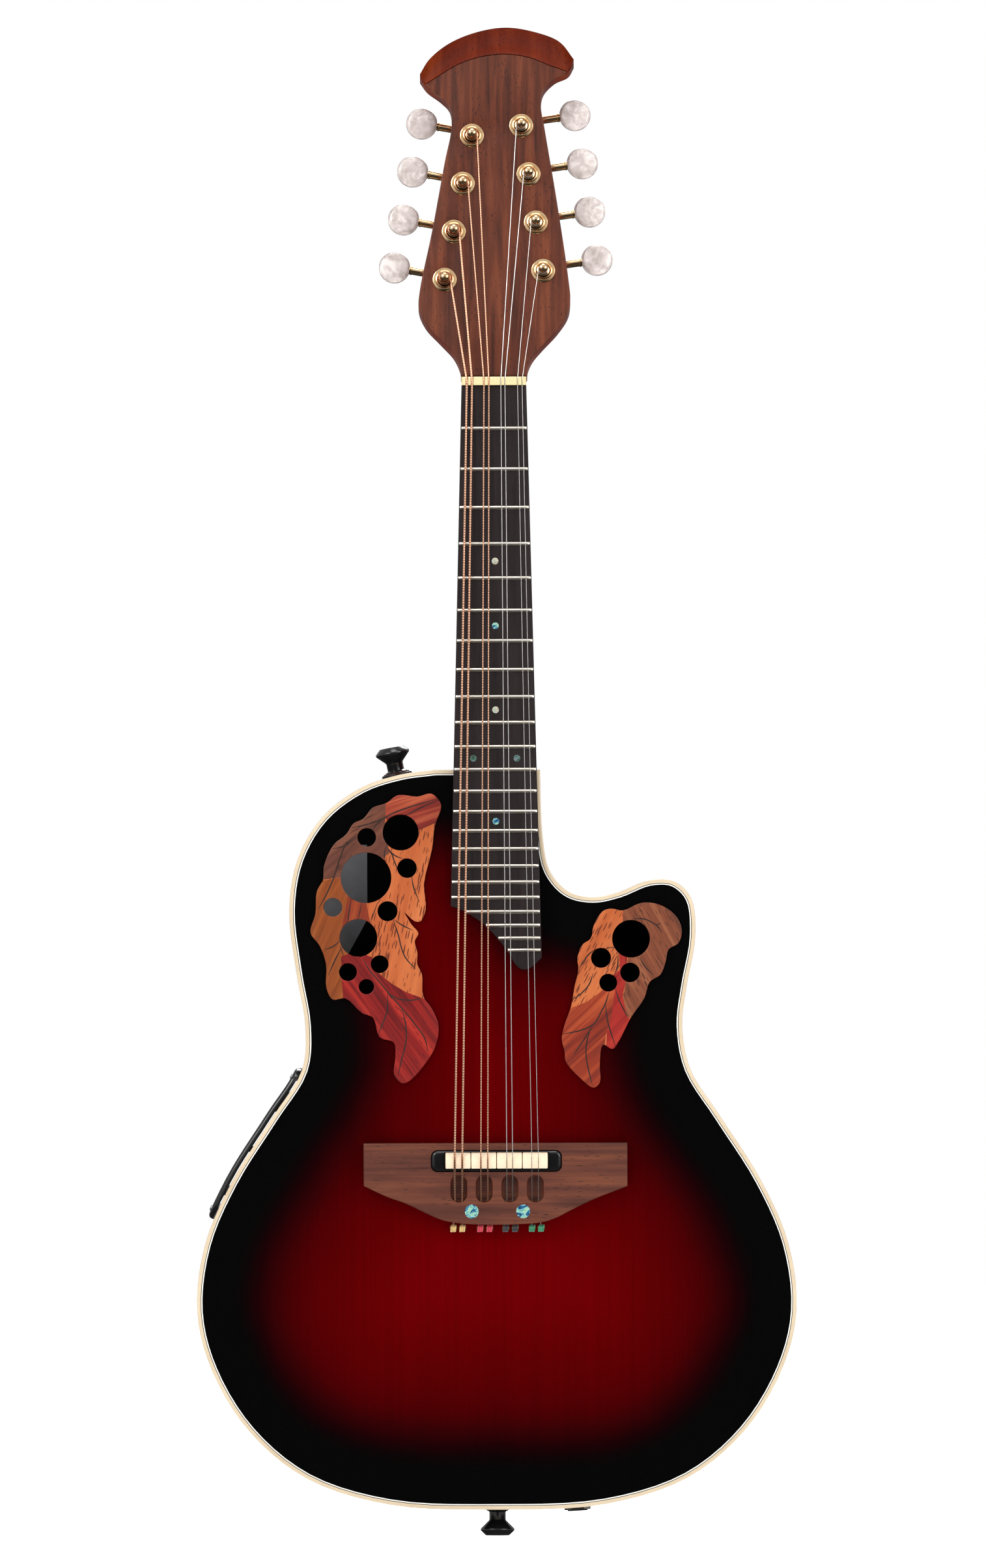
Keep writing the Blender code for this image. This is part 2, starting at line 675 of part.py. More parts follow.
def add_neck(material):
    neck = add_object("neck", neck_shaft(), material)
    slab = plate([head_outline()], -HEAD_THICKNESS, -VENEER_THICKNESS - GAP)
    add(neck, head_to_body(slab))
    add(neck, head_to_body(crown_lip()))
    cut(neck, body_cutter(GAP))
    channel = block(ROD_CHANNEL, ROD_CHANNEL_CENTRE)
    holes = [post_hole(spot) for side in POST_STARTS for spot in post_spots(side)]
    cut(neck, joined(channel, *holes))
    return neck


def post_hole(spot):
    profile = ((POST_BORE_RADIUS, -HEAD_THICKNESS - 4), (POST_BORE_RADIUS, 4.0))
    return head_to_body(turned_at(profile, 10, spot))


def turned_at(profile, sides, spot):
    return moved(turned(profile, sides), Matrix.Translation((spot.x, spot.y, 0)))


def add_truss_rod(material):
    return add_object("truss_rod", block(TRUSS_ROD, TRUSS_ROD_CENTRE), material)


def add_veneer(material):
    """The face veneer, which stops at the foot of the crown's scoop."""
    foot = [point + Vector((0, -0.6)) for point in smooth(SCOOP_FOOT, 2)]
    bass = [point for point in smooth(HEAD_BASS_EDGE, 2) if point.y < foot[0].y - 1.0]
    treble = [point for point in smooth(HEAD_TREBLE_EDGE, 2) if point.y < foot[-1].y - 1.0]
    holes = [circle(POST_BORE_RADIUS, 12, spot) for side in POST_STARTS for spot in post_spots(side)]
    edge = bass + foot + treble
    return add_object("headstock_veneer", plate([edge, *holes], -VENEER_THICKNESS, 0.0), material, HEAD)


def add_fingerboard(material):
    top = NUT_FACE - GAP / 2
    bass_end, treble_end = FINGERBOARD_CORNERS
    edge = [Vector((board_edge(top), top)), Vector((-board_edge(top), top))]
    edge += [Vector((-board_edge(bass_end), bass_end)), *smooth(FINGERBOARD_END, 2)]
    edge += [Vector((board_edge(treble_end), treble_end))]
    return add_object("fingerboard", plate([edge], GAP, GAP + FINGERBOARD_THICKNESS), material)


def add_nut(material):
    """A bone bar across the neck with a slot for each string, drawn end on and drawn out up the neck."""
    top = STRING_HEIGHT_AT_NUT + 0.5
    half = NUT_WIDTH / 2
    line = [(-half, GAP), (half, GAP), (half, top - 0.8), (half - 0.8, top)]
    for spot, radius in reversed(list(zip(NUT_SPOTS, STRING_RADII))):
        wide = radius + 0.32
        floor = STRING_HEIGHT_AT_NUT - radius - GAP
        line += [(spot + wide, top), (spot + wide, floor), (spot - wide, floor), (spot - wide, top)]
    line += [(-half + 0.8, top), (-half, top - 0.8)]
    start = NUT_FACE + GAP / 2
    end = NUT_FACE + NUT_THICKNESS - GAP / 2
    rings = [[Vector((across, up, height)) for across, height in line] for up in (start, end)]
    return add_object("nut", loft(rings), material)


# Bridge


def add_bridge(material):
    edge = [Vector((60.6, 181.9)), Vector((-61.5, 181.9)), *smooth(BRIDGE_SWEEP, 2)]
    chamfer = 1.2
    rings = [raised(edge, GAP), raised(edge, BRIDGE_HEIGHT - chamfer)]
    rings.append(raised(inset(edge, chamfer), BRIDGE_HEIGHT))
    bridge = add_object("bridge", loft(rings), material)
    seat = rounded_box(TRAY_SIZE[0] + 0.7, TRAY_SIZE[1] + 0.7, 3.3, TRAY_CENTRE)
    cutters = [plate([seat], TRAY_FLOOR - GAP, 20.0)]
    for centre in POCKET_CENTRES:
        low_end, high_end = POCKET_ENDS
        middle = (centre, (low_end + high_end) / 2)
        slot = rounded_box(POCKET_WIDTH, high_end - low_end, POCKET_WIDTH / 2 - 0.01, middle)
        cutters.append(plate([slot], POCKET_FLOOR, 20.0))
    cut(bridge, joined(*cutters))
    drills = []
    for number in range(len(SADDLE_SPOTS)):
        pocket, tail, along = anchor_line(number)
        drills.append(tube((pocket - along * 2.0, tail + along * 3.0), (0.95, 0.95), 8))
    cut(bridge, joined(*drills))
    return bridge


def anchor_line(number):
    """The start, the end and the direction of a string's run from its pocket to its ball end."""
    pocket = Vector((SADDLE_SPOTS[number], POCKET_ENTRY, ANCHOR_HEIGHT))
    tail = Vector((ANCHOR_SPOTS[number], BALL_TOP, ANCHOR_HEIGHT - 0.4))
    return pocket, tail, (tail - pocket).normalized()


def add_saddle_tray(material):
    outside = rounded_box(*TRAY_SIZE, 3.0, TRAY_CENTRE)
    tray = add_object("saddle_tray", plate([outside], TRAY_FLOOR, TRAY_TOP), material)
    cut(tray, block((48.6, 8.0, 10.0), (0.05, 173.85, TRAY_FLOOR + 1.2 + 5.0)))
    return tray


def add_saddles(material):
    """Four bone saddles, one under each course, each with a crest across it."""
    crest = STRING_HEIGHT_AT_SADDLE - STRING_RADII[0] - GAP
    floor = TRAY_FLOOR + 1.2 + GAP
    centres = (-17.75, -5.85, 6.05, 17.95)
    profile = ((170.2, floor), (170.2, 8.9), (171.4, crest - 1.3), (174.1, crest), (175.2, crest))
    profile += ((176.4, crest - 0.5), (177.5, 8.9), (177.5, floor))
    for number, centre in enumerate(centres, 1):
        ends = (centre - 5.75, centre + 5.75)
        rings = [[Vector((across, up, height)) for up, height in profile] for across in ends]
        add_object(f"saddle_{number}", loft(rings), material)


# Strings and tuning machines


def machine_frames(side, spot):
    """The placements of a post and of its worm shaft.

    The post's forward axis leaves the face and its across axis points up the strip, at the worm. The shaft's
    forward axis points out of the headstock at its button and its across axis points back at the post.
    """
    tilt = EDGE_TILTS[side]
    along = Vector((math.sin(tilt), math.cos(tilt), 0))
    sign = -1 if side == "bass" else 1
    outward = Vector((sign * math.cos(tilt), -sign * math.sin(tilt), 0))
    front = Vector((0, 0, 1))
    turn = HEAD.to_3x3()

    def build(origin, across, forward):
        up = forward.cross(across)
        return make_frame(at(HEAD, *origin), turn @ across, turn @ up, turn @ forward)

    post = build(Vector((spot.x, spot.y, 0)), along, front)
    centre = Vector((spot.x, spot.y, -GEAR_CENTRE)) + along * CENTRE_DISTANCE
    shaft = build(centre, -along, outward)
    return post, shaft


def post_mesh(material):
    """A string post with its dome, its waist for the string and its worm wheel at the back."""
    profile = (
        (0.8, 8.2), (1.9, 7.7), (2.5, 6.8), (2.4, 5.9), (1.8, 5.3), (1.8, 3.4), (2.6, 2.8), (2.9, 1.4),
        (2.9, -GEAR_CENTRE + 0.2), (1.6, -GEAR_CENTRE - 0.2), (1.6, -GEAR_CENTRE - 3.0),
        (1.0, -GEAR_CENTRE - 3.4),
    )
    post = add_object("post_pattern", turned(profile, 10), material, Matrix.Identity(4))
    root, tip = GEAR_PITCH_RADIUS - 0.55, GEAR_PITCH_RADIUS + 0.35
    rim = []
    for tooth in range(GEAR_TEETH):
        for share, radius in ((0.0, root), (0.5, tip)):
            turn = 2 * math.pi * (tooth + share) / GEAR_TEETH
            rim.append(Vector((radius * math.cos(turn), radius * math.sin(turn))))
    low = -GEAR_CENTRE - GEAR_DEPTH / 2
    add(post, loft([raised(rim, low), raised(rim, low + GEAR_DEPTH)]))
    return pattern_mesh(post)


def pattern_mesh(thing):
    """Takes the mesh of a pattern object, so that every copy can share it."""
    mesh = thing.data
    bpy.data.objects.remove(thing)
    return mesh


def shaft_mesh(material):
    """A worm shaft: its inner journal, its screw thread and its long stem out to the button."""
    sides = 8
    root, crest = WORM_PITCH_RADIUS - 0.55, WORM_PITCH_RADIUS + 0.3
    samples = 4
    turns = 4
    start = -turns * WORM_PITCH / 2
    profile = [(SHAFT_RADIUS - 0.4, -6.0), (SHAFT_RADIUS - 0.4, start - 0.4), (root, start - 0.1)]
    rings = [circle(radius, sides, height=height) for radius, height in profile]
    for row in range(turns * samples + 1):
        height = start + WORM_PITCH * row / samples
        ring = []
        for side in range(sides):
            phase = (height / WORM_PITCH - side / sides) % 1.0
            rise = max(0.0, 1 - 4 * min(phase, 1 - phase))
            turn = 2 * math.pi * side / sides
            radius = root + (crest - root) * rise
            ring.append(Vector((radius * math.cos(turn), radius * math.sin(turn), height)))
        rings.append(ring)
    reach = min(SHAFT_REACHES.values())
    stem = ((root, -start + 0.1), (SHAFT_RADIUS, -start + 0.4), (SHAFT_RADIUS, reach - 1.5))
    stem += ((1.2, reach - 1.0),)
    rings += [circle(radius, sides, height=height) for radius, height in stem]
    return pattern_mesh(add_object("shaft_pattern", loft(rings), material, Matrix.Identity(4)))


def button_mesh(material):
    """A round tuning button, turned about the axis across its shaft and drilled for the stem."""
    half = BUTTON_THICKNESS / 2
    radius = BUTTON_RADIUS
    profile = (
        (radius - 2.4, -half), (radius - 0.8, -half + 0.7), (radius, -half + 2.0), (radius, half - 2.0),
        (radius - 0.8, half - 0.7), (radius - 2.4, half),
    )
    shape = moved(turned(profile, 16), Matrix.Rotation(math.radians(90), 4, "X"))
    button = add_object("button_pattern", shape, material, Matrix.Identity(4))
    cut(button, turned(((SHAFT_RADIUS + 0.35, -radius - 2), (SHAFT_RADIUS + 0.35, 0.4)), 10))
    return pattern_mesh(button)


def add_machines(gold, pearl):
    post, shaft, button = post_mesh(gold), shaft_mesh(gold), button_mesh(pearl)
    number = 0
    for side in ("bass", "treble"):
        for spot in post_spots(side):
            number += 1
            post_frame, shaft_frame = machine_frames(side, spot)
            place_mesh(f"tuner_post_{number}", post, gold, post_frame)
            place_mesh(f"tuner_worm_shaft_{number}", shaft, gold, shaft_frame)
            reach = Matrix.Translation((0, 0, SHAFT_REACHES[side] * MM))
            place_mesh(f"tuner_button_{number}", button, pearl, shaft_frame @ reach)
        add_plate(side, gold)


def add_plate(side, gold):
    """The strip that carries four machines, with two bent-up lugs for each worm shaft."""
    spots = post_spots(side)
    back = -HEAD_THICKNESS - GAP
    tilt = EDGE_TILTS[side]
    turn = Matrix.Rotation(-tilt, 4, "Z")
    middle = (spots[0] + spots[3]) / 2
    length = 3 * POST_SPACING + 24.0
    place = Matrix.Translation((middle.x, middle.y, 0)) @ turn
    strip = moved(plate([rounded_box(11.0, length, 3.0, (0, 2.6))], back - PLATE_THICKNESS, back), place)
    name = f"tuner_plate_{side}"
    whole = add_object(name, strip, gold, HEAD)
    lug_height = GEAR_CENTRE + 2.6 - HEAD_THICKNESS - GAP
    lugs = []
    bores = []
    for spot in spots:
        local = Matrix.Translation((spot.x, spot.y, 0)) @ turn
        for across in (-4.7, 4.7):
            centre = (across, CENTRE_DISTANCE, back - lug_height / 2)
            lugs.append(moved(block((1.2, 5.6, lug_height), centre), local))
        bores.append(turned_at(((3.3, back - 3), (3.3, back + 2)), 10, spot))
        shaft_bore = turned(((SHAFT_RADIUS + GAP, -8), (SHAFT_RADIUS + GAP, 8)), 8)
        shaft_line = Matrix.Translation((0, CENTRE_DISTANCE, -GEAR_CENTRE))
        across_strip = Matrix.Rotation(math.radians(90), 4, "Y")
        bores.append(moved(shaft_bore, local @ shaft_line @ across_strip))
    add(whole, joined(*lugs))
    cut(whole, joined(*bores))


def add_strings(bronze, steel):
    """Each string runs from its post over the nut and its saddle and through the bridge to its ball end."""
    bass, treble = post_spots("bass"), post_spots("treble")
    targets = [*bass, *reversed(treble)]
    head = local_to_body(HEAD)
    runs = zip(NUT_SPOTS, SADDLE_SPOTS, STRING_RADII, targets)
    for number, (nut, saddle, radius, post) in enumerate(runs, 1):
        inward = 1 if post.x < 0 else -1
        side = post.x + inward * (1.8 + GAP + radius)
        on_post = head @ Vector((side, post.y, 4.3))
        over_nut = Vector((nut, NUT_FACE + NUT_THICKNESS / 2, STRING_HEIGHT_AT_NUT + 0.05))
        crest = Vector((saddle, SADDLE_CREST, STRING_HEIGHT_AT_SADDLE))
        pocket, tail, along = anchor_line(number - 1)
        path = [on_post, over_nut, crest, pocket, tail, tail + along * 0.1, tail + along * BALL_LENGTH]
        radii = [radius] * 5 + [BALL_RADIUS] * 2
        add_object(f"string_{number}", tube(path, radii, 8), bronze if number <= 4 else steel)


# Fittings


def strap_button(name, material, frame):
    """A strap button with a shank through the wall, a waist for the strap and a flat end."""
    profile = (
        (2.0, -9.0), (2.0, GAP), (5.05, GAP), (5.05, 0.9), (3.85, 1.2), (3.85, 5.2),
        (7.85, 9.2), (7.85, 10.0), (5.35, STRAP_BUTTON_LENGTH),
    )
    add_object(name, turned(profile, 18), material, frame)


def add_jack(material):
    """The output socket: a drilled barrel through the wall with its washer and nut outside."""
    profile = (
        (4.6, -16.0), (4.6, GAP), (6.95, GAP), (6.95, 1.0), (5.4, 1.0), (5.4, 2.3), (4.5, 2.3), (4.5, 2.8),
    )
    jack = add_object("output_jack", turned(profile, 18), material, JACK)
    cut(jack, turned(((3.4, -14.0), (3.4, 6.0)), 12))
    return jack


def add_control_bezel(material):
    """The frame round the controls. It follows the wall's curve and stands a little proud of it."""
    path = rounded_box(BEZEL_LENGTH, CONTROL_WIDTH, BEZEL_CORNER)
    outline = []
    for here, after in zip(path, path[1:] + path[:1]):
        pieces = max(1, round((after - here).length / 7))
        outline += [here.lerp(after, piece / pieces) for piece in range(pieces)]
    middle = sum(CONTROL_ENDS) / 2
    rise = (CONTROL_ENDS[1] - CONTROL_ENDS[0]) / BEZEL_LENGTH
    section = ((0.0, 2 * GAP), (0.0, 1.8), (1.6, CONTROL_PROUD), (6.2, CONTROL_PROUD), (6.2, 2 * GAP))
    rings = []
    for back, proud in section:
        ring = inset(outline, back)
        rings.append([wall_point(middle + spot.x * rise, CONTROL_DEPTH + spot.y, proud) for spot in ring])
    return add_object("control_bezel", loft(rings, loop=True), material)


def add_preamp(material, frame):
    """The module behind the panel, with slots for the sliders' stems and wells for the round controls."""
    face = MODULE_FACE
    body = block((*MODULE_SIZE, MODULE_DEPTH), (0, 0, face - MODULE_DEPTH / 2))
    module = add_object("preamp_module", body, material, frame)
    slot = (SLIDER_TRAVEL * 2 + 4.0, 1.8, 10.0)
    slots = [block(slot, (SLIDER_SPOT, row, face)) for row in SLIDER_ROWS.values()]
    well = moved(turned(((2.7, face - 6.0), (2.7, face + 3)), 14), Matrix.Translation((KNOB_SPOT, 0, 0)))
    press = moved(turned(((3.4, face - 5.0), (3.4, face + 3)), 14), Matrix.Translation((SWITCH_SPOT, 0, 0)))
    cut(module, joined(*slots, well, press))
    return module


def add_controls(material, frame):
    """A volume knob, two tone sliders and a push button, all below the bezel's face."""
    base = MODULE_FACE + GAP

    def spot(across, row=0.0):
        return frame @ Matrix.Translation((across * MM, row * MM, 0))

    knob = ((2.3, base - 5.0), (2.3, base), (6.2, base), (6.5, base + 0.8))
    knob += ((6.1, base + 3.4), (5.4, base + 3.8))
    add_object("volume_knob", turned(knob, 24), material, spot(KNOB_SPOT))
    for name, row in SLIDER_ROWS.items():
        cap = block((3.2, 5.6, 3.2), (0, 0, base + 1.6))
        slider = add_object(name, cap, material, spot(SLIDER_SPOT, row))
        add(slider, block((1.6, 1.1, 4.0), (0, 0, base - 1.5)))
    press = ((3.0, base - 3.6), (3.0, base + 1.8), (2.5, base + 2.2))
    add_object("tuner_switch", turned(press, 18), material, spot(SWITCH_SPOT))


def build():
    clear_scene()
    black_shell = make_material("black_shell", (0.012, 0.012, 0.013), 0.55)
    red_top = make_material("red_lacquered_spruce", (0.11, 0.002, 0.004), 0.1)
    cream = make_material("cream_binding", (0.76, 0.62, 0.44), 0.3)
    leaf_wood = make_material("leaf_marquetry", (0.46, 0.16, 0.05), 0.35)
    mahogany = make_material("mahogany", (0.26, 0.09, 0.035), 0.4)
    walnut = make_material("walnut", (0.13, 0.055, 0.032), 0.5)
    ebony = make_material("dark_rosewood", (0.035, 0.022, 0.018), 0.5)
    bone = make_material("bone", (0.82, 0.7, 0.48), 0.35)
    spruce = make_material("spruce", (0.55, 0.38, 0.2), 0.6)
    black_plastic = make_material("black_plastic", (0.015, 0.015, 0.016), 0.3)
    pearl = make_material("pearl_plastic", (0.75, 0.72, 0.72), 0.15)
    gold = make_material("gold_plate", (0.83, 0.6, 0.32), 0.2, 1.0)
    nickel = make_material("nickel_plate", (0.66, 0.63, 0.6), 0.2, 1.0)
    bronze = make_material("bronze_wire", (0.75, 0.42, 0.26), 0.3, 1.0)
    steel = make_material("steel_wire", (0.72, 0.71, 0.7), 0.25, 1.0)

    add_bowl(black_shell)
    add_soundboard(red_top)
    add_braces(spruce)
    add_binding(cream)
    add_leaf("bass_leaf_panel", BASS_LEAF, BASS_HOLES, leaf_wood)
    add_leaf("treble_leaf_panel", TREBLE_LEAF, TREBLE_HOLES, leaf_wood)
    add_neck(mahogany)
    add_truss_rod(steel)
    add_veneer(walnut)
    add_fingerboard(ebony)
    add_nut(bone)
    add_bridge(walnut)
    add_saddle_tray(black_plastic)
    add_saddles(bone)
    add_machines(gold, pearl)
    add_strings(bronze, steel)
    strap_button("end_strap_button", black_plastic, END_BUTTON)
    strap_button("shoulder_strap_button", black_plastic, SHOULDER_BUTTON)
    add_jack(nickel)
    frame = control_frame()
    add_control_bezel(black_plastic)
    add_preamp(black_plastic, frame)
    add_controls(black_plastic, frame)


build()
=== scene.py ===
"""The finished look of a round-back, cutaway, eight-string instrument of the mandolin family.

Shapes are drawn in millimetres, in the axes of a placement, and become metres when a piece is made. Outlines
are drawn in the plane of the soundboard as (across, up), and heights stand forward of that plane.
"""

import json
import math

import bmesh
import bpy
from mathutils import Matrix, Vector, geometry


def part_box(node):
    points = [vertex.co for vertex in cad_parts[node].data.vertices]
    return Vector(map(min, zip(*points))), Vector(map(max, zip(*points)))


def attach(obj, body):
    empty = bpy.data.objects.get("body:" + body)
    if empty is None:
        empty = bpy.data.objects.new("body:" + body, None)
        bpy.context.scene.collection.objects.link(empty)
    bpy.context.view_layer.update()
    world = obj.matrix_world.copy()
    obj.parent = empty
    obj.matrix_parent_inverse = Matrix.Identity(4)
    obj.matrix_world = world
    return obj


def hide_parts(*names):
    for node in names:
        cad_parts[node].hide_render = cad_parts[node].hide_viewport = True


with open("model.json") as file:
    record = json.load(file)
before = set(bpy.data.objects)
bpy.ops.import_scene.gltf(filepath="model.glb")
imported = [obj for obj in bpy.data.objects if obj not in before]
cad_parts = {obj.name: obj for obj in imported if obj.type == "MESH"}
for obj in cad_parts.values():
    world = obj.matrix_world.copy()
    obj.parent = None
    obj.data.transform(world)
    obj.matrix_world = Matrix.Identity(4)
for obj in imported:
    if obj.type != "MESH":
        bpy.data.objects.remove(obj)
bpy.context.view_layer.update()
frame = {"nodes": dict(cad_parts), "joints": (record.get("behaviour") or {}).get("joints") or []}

MM = 0.001
BODY_NAME = "instrument"


def lowest(node):
    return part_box(node)[0] / MM


# Sizes read from the frame
SOUNDBOARD_Y = lowest("soundboard").y
NUT_FACE = lowest("nut").z - 0.15
BOARD_TOP = SOUNDBOARD_Y - lowest("fingerboard").y
BRIDGE_TOP = SOUNDBOARD_Y - lowest("bridge").y
TRAY_TOP = SOUNDBOARD_Y - lowest("saddle_tray").y
SADDLE_TOP = SOUNDBOARD_Y - lowest("saddle_1").y
LEAF_TOP = SOUNDBOARD_Y - lowest("bass_leaf_panel").y

# Neck and fingerboard
SCALE_LENGTH = 355.6
NUT_THICKNESS = 4.2
NUT_WIDTH = 30.0
BODY_JOINT = NUT_FACE - SCALE_LENGTH / 2
WIDTH_AT_BODY = 38.5
NECK_DEPTH_AT_NUT = 13.0
NECK_DEPTH_AT_BODY = 15.0
HEEL_DEPTH = 34.0
FRETS = 23
FRET_CROWN = (1.9, 0.95)
FRET_INSET = 0.35
DOT_RADIUS = 1.55

# Body
TOP_THICKNESS = 2.5
BINDING_WIDTH = 1.75
BLACK_LINE = 0.3
WHITE_LINE = 0.5
BOWL_DEPTH = 60.0
BOWL_WALL = 2.5
BOWL_FULLNESS = 2.8
BOWL_CENTRE = Vector((0.0, 213.0))
BOWL_RIM = -TOP_THICKNESS - 0.3
LEDGE_WIDTH = 7.0
LEDGE_THICKNESS = 4.0

# Headstock
HEAD_TILT = math.radians(12)
VENEER_THICKNESS = 1.5
HEAD_THICKNESS = 15.0
CROWN_RISE = 6.5

# Strings, lowest course first
NUT_SPOTS = (-12.5, -10.1, -4.6, -2.3, 3.2, 5.1, 10.9, 13.0)
SADDLE_SPOTS = (-19.3, -15.8, -7.2, -4.0, 4.8, 7.5, 16.4, 19.4)
ANCHOR_SPOTS = (-19.9, -15.8, -7.5, -3.3, 4.3, 8.5, 16.4, 20.5)
STRING_RADII = (0.50, 0.50, 0.33, 0.33, 0.20, 0.20, 0.15, 0.15)
WOUND_STRINGS = 4
STRING_HEIGHT_AT_NUT = 7.4
STRING_HEIGHT_AT_SADDLE = 11.6
SADDLE_CREST = 174.0
POCKET_ENTRY = 156.4
BALL_TOP = 143.9
ANCHOR_HEIGHT = 4.45

# Bridge
POCKET_CENTRES = (-17.4, -5.7, 6.2, 18.0)
POCKET_WIDTH = 7.5
POCKET_ENDS = (154.5, 166.9)
POCKET_FLOOR = 3.0
TRAY_SIZE = (60.2, 9.7)
TRAY_CENTRE = (0.0, 173.6)
TRAY_FLOOR = 3.4
SADDLE_CENTRES = (-17.75, -5.85, 6.05, 17.95)
SADDLE_MIDDLE = 173.85
BRIDGE_DOTS = (-11.5, 12.3)
BRIDGE_DOT_HEIGHT = 150.3
BRIDGE_DOT_RADIUS = 3.2

# Tuning machines
POST_SPACING = 23.2
MACHINES = {"bass": (1, 2, 3, 4), "treble": (5, 6, 7, 8)}
EDGE_TILTS = {"bass": math.radians(10.6), "treble": math.radians(-8.2)}
SHAFT_REACHES = {"bass": 24.7, "treble": 26.0}
PLATE_THICKNESS = 1.2
LUG_WIDTH = 5.6
GEAR_TEETH = 14
GEAR_PITCH_RADIUS = 3.8
GEAR_DEPTH = 2.6
GEAR_CENTRE = 19.0
WORM_PITCH_RADIUS = 1.8
CENTRE_DISTANCE = GEAR_PITCH_RADIUS + WORM_PITCH_RADIUS
WORM_PITCH = 2 * math.pi * GEAR_PITCH_RADIUS / GEAR_TEETH
SHAFT_RADIUS = 1.8
BUTTON_RADIUS = 7.25
BUTTON_THICKNESS = 6.0

# Control panel
CONTROL_ENDS = (146.5, 216.0)
CONTROL_WIDTH = 34.0
CONTROL_DEPTH = 19.0
CONTROL_PROUD = 3.2
BEZEL_LENGTH = 79.0
BEZEL_SCREWS = (34.5, 12.5)
MODULE_SIZE = (60.4, 16.4)
MODULE_FACE = -1.5
MODULE_DEPTH = 24.0
SLIDER_TRAVEL = 9.0
SLIDER_ROWS = {"bass_slider": -4.4, "treble_slider": 4.4}
SLIDER_SPOT = -4.0
KNOB_SPOT = 22.5
SWITCH_SPOT = -26.0

# Strap buttons and jack
FITTING_AXIS = -16.0
STRAP_BUTTON_LENGTH = 12.3

# Outlines, (across, up). Every run is a smooth curve through its points.
SHOULDER = (
    (-28, 354.7), (-44, 352.5), (-62, 346.5), (-80, 333), (-91.5, 313.5),
    (-95.5, 290), (-92.3, 261), (-88.2, 236),
)
LOWER_BOUT = (
    (89.8, 216), (103.6, 194), (122.3, 164.5), (135, 135), (138.7, 104),
    (132, 77), (114.6, 48.5), (88, 26.6), (50, 14.6),
)
CUTAWAY = (
    (86.2, 236), (88.3, 254), (92.4, 277), (90.5, 295), (82.5, 302.8),
    (71, 303.2), (57, 297.8), (45, 295.5), (33.5, 298.2), (25, 308), (21.8, 325), (20.8, 354.7),
)
FINGERBOARD_END = (
    (-14.6, 289.2), (-6, 283.5), (-0.2, 277.7), (5.1, 271), (8.5, 265.3), (11.4, 262.4),
    (15.2, 262.4), (18.1, 264.4),
)
FINGERBOARD_CORNERS = (291.6, 267.7)
BASS_LEAF = (
    (-37.4, 284.6), (-42, 288.5), (-40.2, 285.2), (-38.8, 283.0), (-35.7, 279), (-37.4, 275.4),
    (-36.2, 270), (-36.3, 264.8), (-34.1, 259.9), (-33.6, 250), (-29.6, 244.2), (-26.5, 236),
    (-28.1, 226.5), (-32, 219.7), (-39.8, 210.9), (-43.5, 209.6), (-47.2, 213.5), (-46.6, 222),
    (-47.3, 228.5), (-53.9, 231), (-56.8, 240), (-62, 242.2), (-69.5, 249), (-75.5, 248.5), (-78.4, 254),
    (-78.5, 264.8), (-81.5, 273.5), (-85.7, 279.5), (-83.4, 288), (-82.7, 298.5), (-79.8, 304),
    (-79.3, 310.5), (-74.8, 320.2), (-69, 325), (-65.6, 330), (-61, 332.2), (-56.8, 337.2),
    (-50.3, 339.4), (-45, 343), (-36, 342.3), (-29.5, 343.6), (-25, 338.5), (-28, 328.5), (-29.3, 318),
    (-33, 302), (-32.3, 290.3), (-34.7, 284.6),
)
TREBLE_LEAF = (
    (53.5, 290.2), (49.5, 288.9), (45.4, 282.5), (43.9, 276.3), (40.2, 273.6), (37.8, 267.5), (38.2, 262),
    (36.5, 254.5), (34.6, 244.4), (31.9, 237), (30.4, 230), (31.7, 224), (32.2, 219.5), (39.5, 211.2),
    (45, 207.3), (48, 209.8), (48, 218), (49.5, 227.2), (54, 225.2), (57.2, 229.5), (62.4, 239.6),
    (68.7, 248.8), (71.2, 256.2), (76.2, 259.6), (78.6, 265.5), (80, 271.2), (84.6, 274.2), (86.1, 280.5),
    (83, 287.2), (75.6, 292), (67.5, 292.8), (58.8, 289.3),
)
BASS_HOLES = (
    (-43.8, 325.7, 8.3), (-59.9, 304.8, 11.7), (-63.5, 277.0, 8.7), (-59.5, 323.5, 4.3),
    (-40.9, 309.2, 4.5), (-75.3, 291.2, 4.3), (-50.0, 289.3, 4.6), (-68.4, 261.2, 4.1),
    (-53.7, 264.8, 4.1), (-59.9, 254.4, 3.5),
)
TREBLE_HOLES = ((62.6, 276.2, 8.7), (48.7, 267.4, 4.6), (62.1, 260.6, 4.5), (52.0, 255.9, 4.1))

# Marquetry: each wood's patch in a leaf, laid over the wood before it
BASS_PATCHES = (
    (
        "walnut_leaf",
        ((-50.8, 350), (-50.8, 328), (-49, 316), (-60, 309), (-71, 305), (-90, 303), (-90, 350)),
    ),
    (
        "olive_leaf",
        (
            (-90, 303.5), (-80, 303.5), (-71, 305), (-60.5, 300), (-61.5, 284), (-66, 268.5),
            (-68.6, 258), (-70.2, 240), (-90, 240),
        ),
    ),
    ("umber_leaf", ((-67.2, 300), (-61, 300), (-58, 284), (-61, 274), (-70.8, 274), (-70.8, 284))),
    (
        "padauk_tip",
        (
            (-50.8, 350), (-50.8, 332.5), (-46, 326), (-34.9, 326.9), (-26.8, 330.2), (-15, 333),
            (-15, 350),
        ),
    ),
    (
        "padauk_foot",
        (
            (-71.5, 268.4), (-64, 271.5), (-57.3, 268), (-53.4, 260), (-48.5, 256), (-41.7, 251.9),
            (-34, 249), (-20, 247), (-20, 200), (-60, 200), (-70.3, 238),
        ),
    ),
)
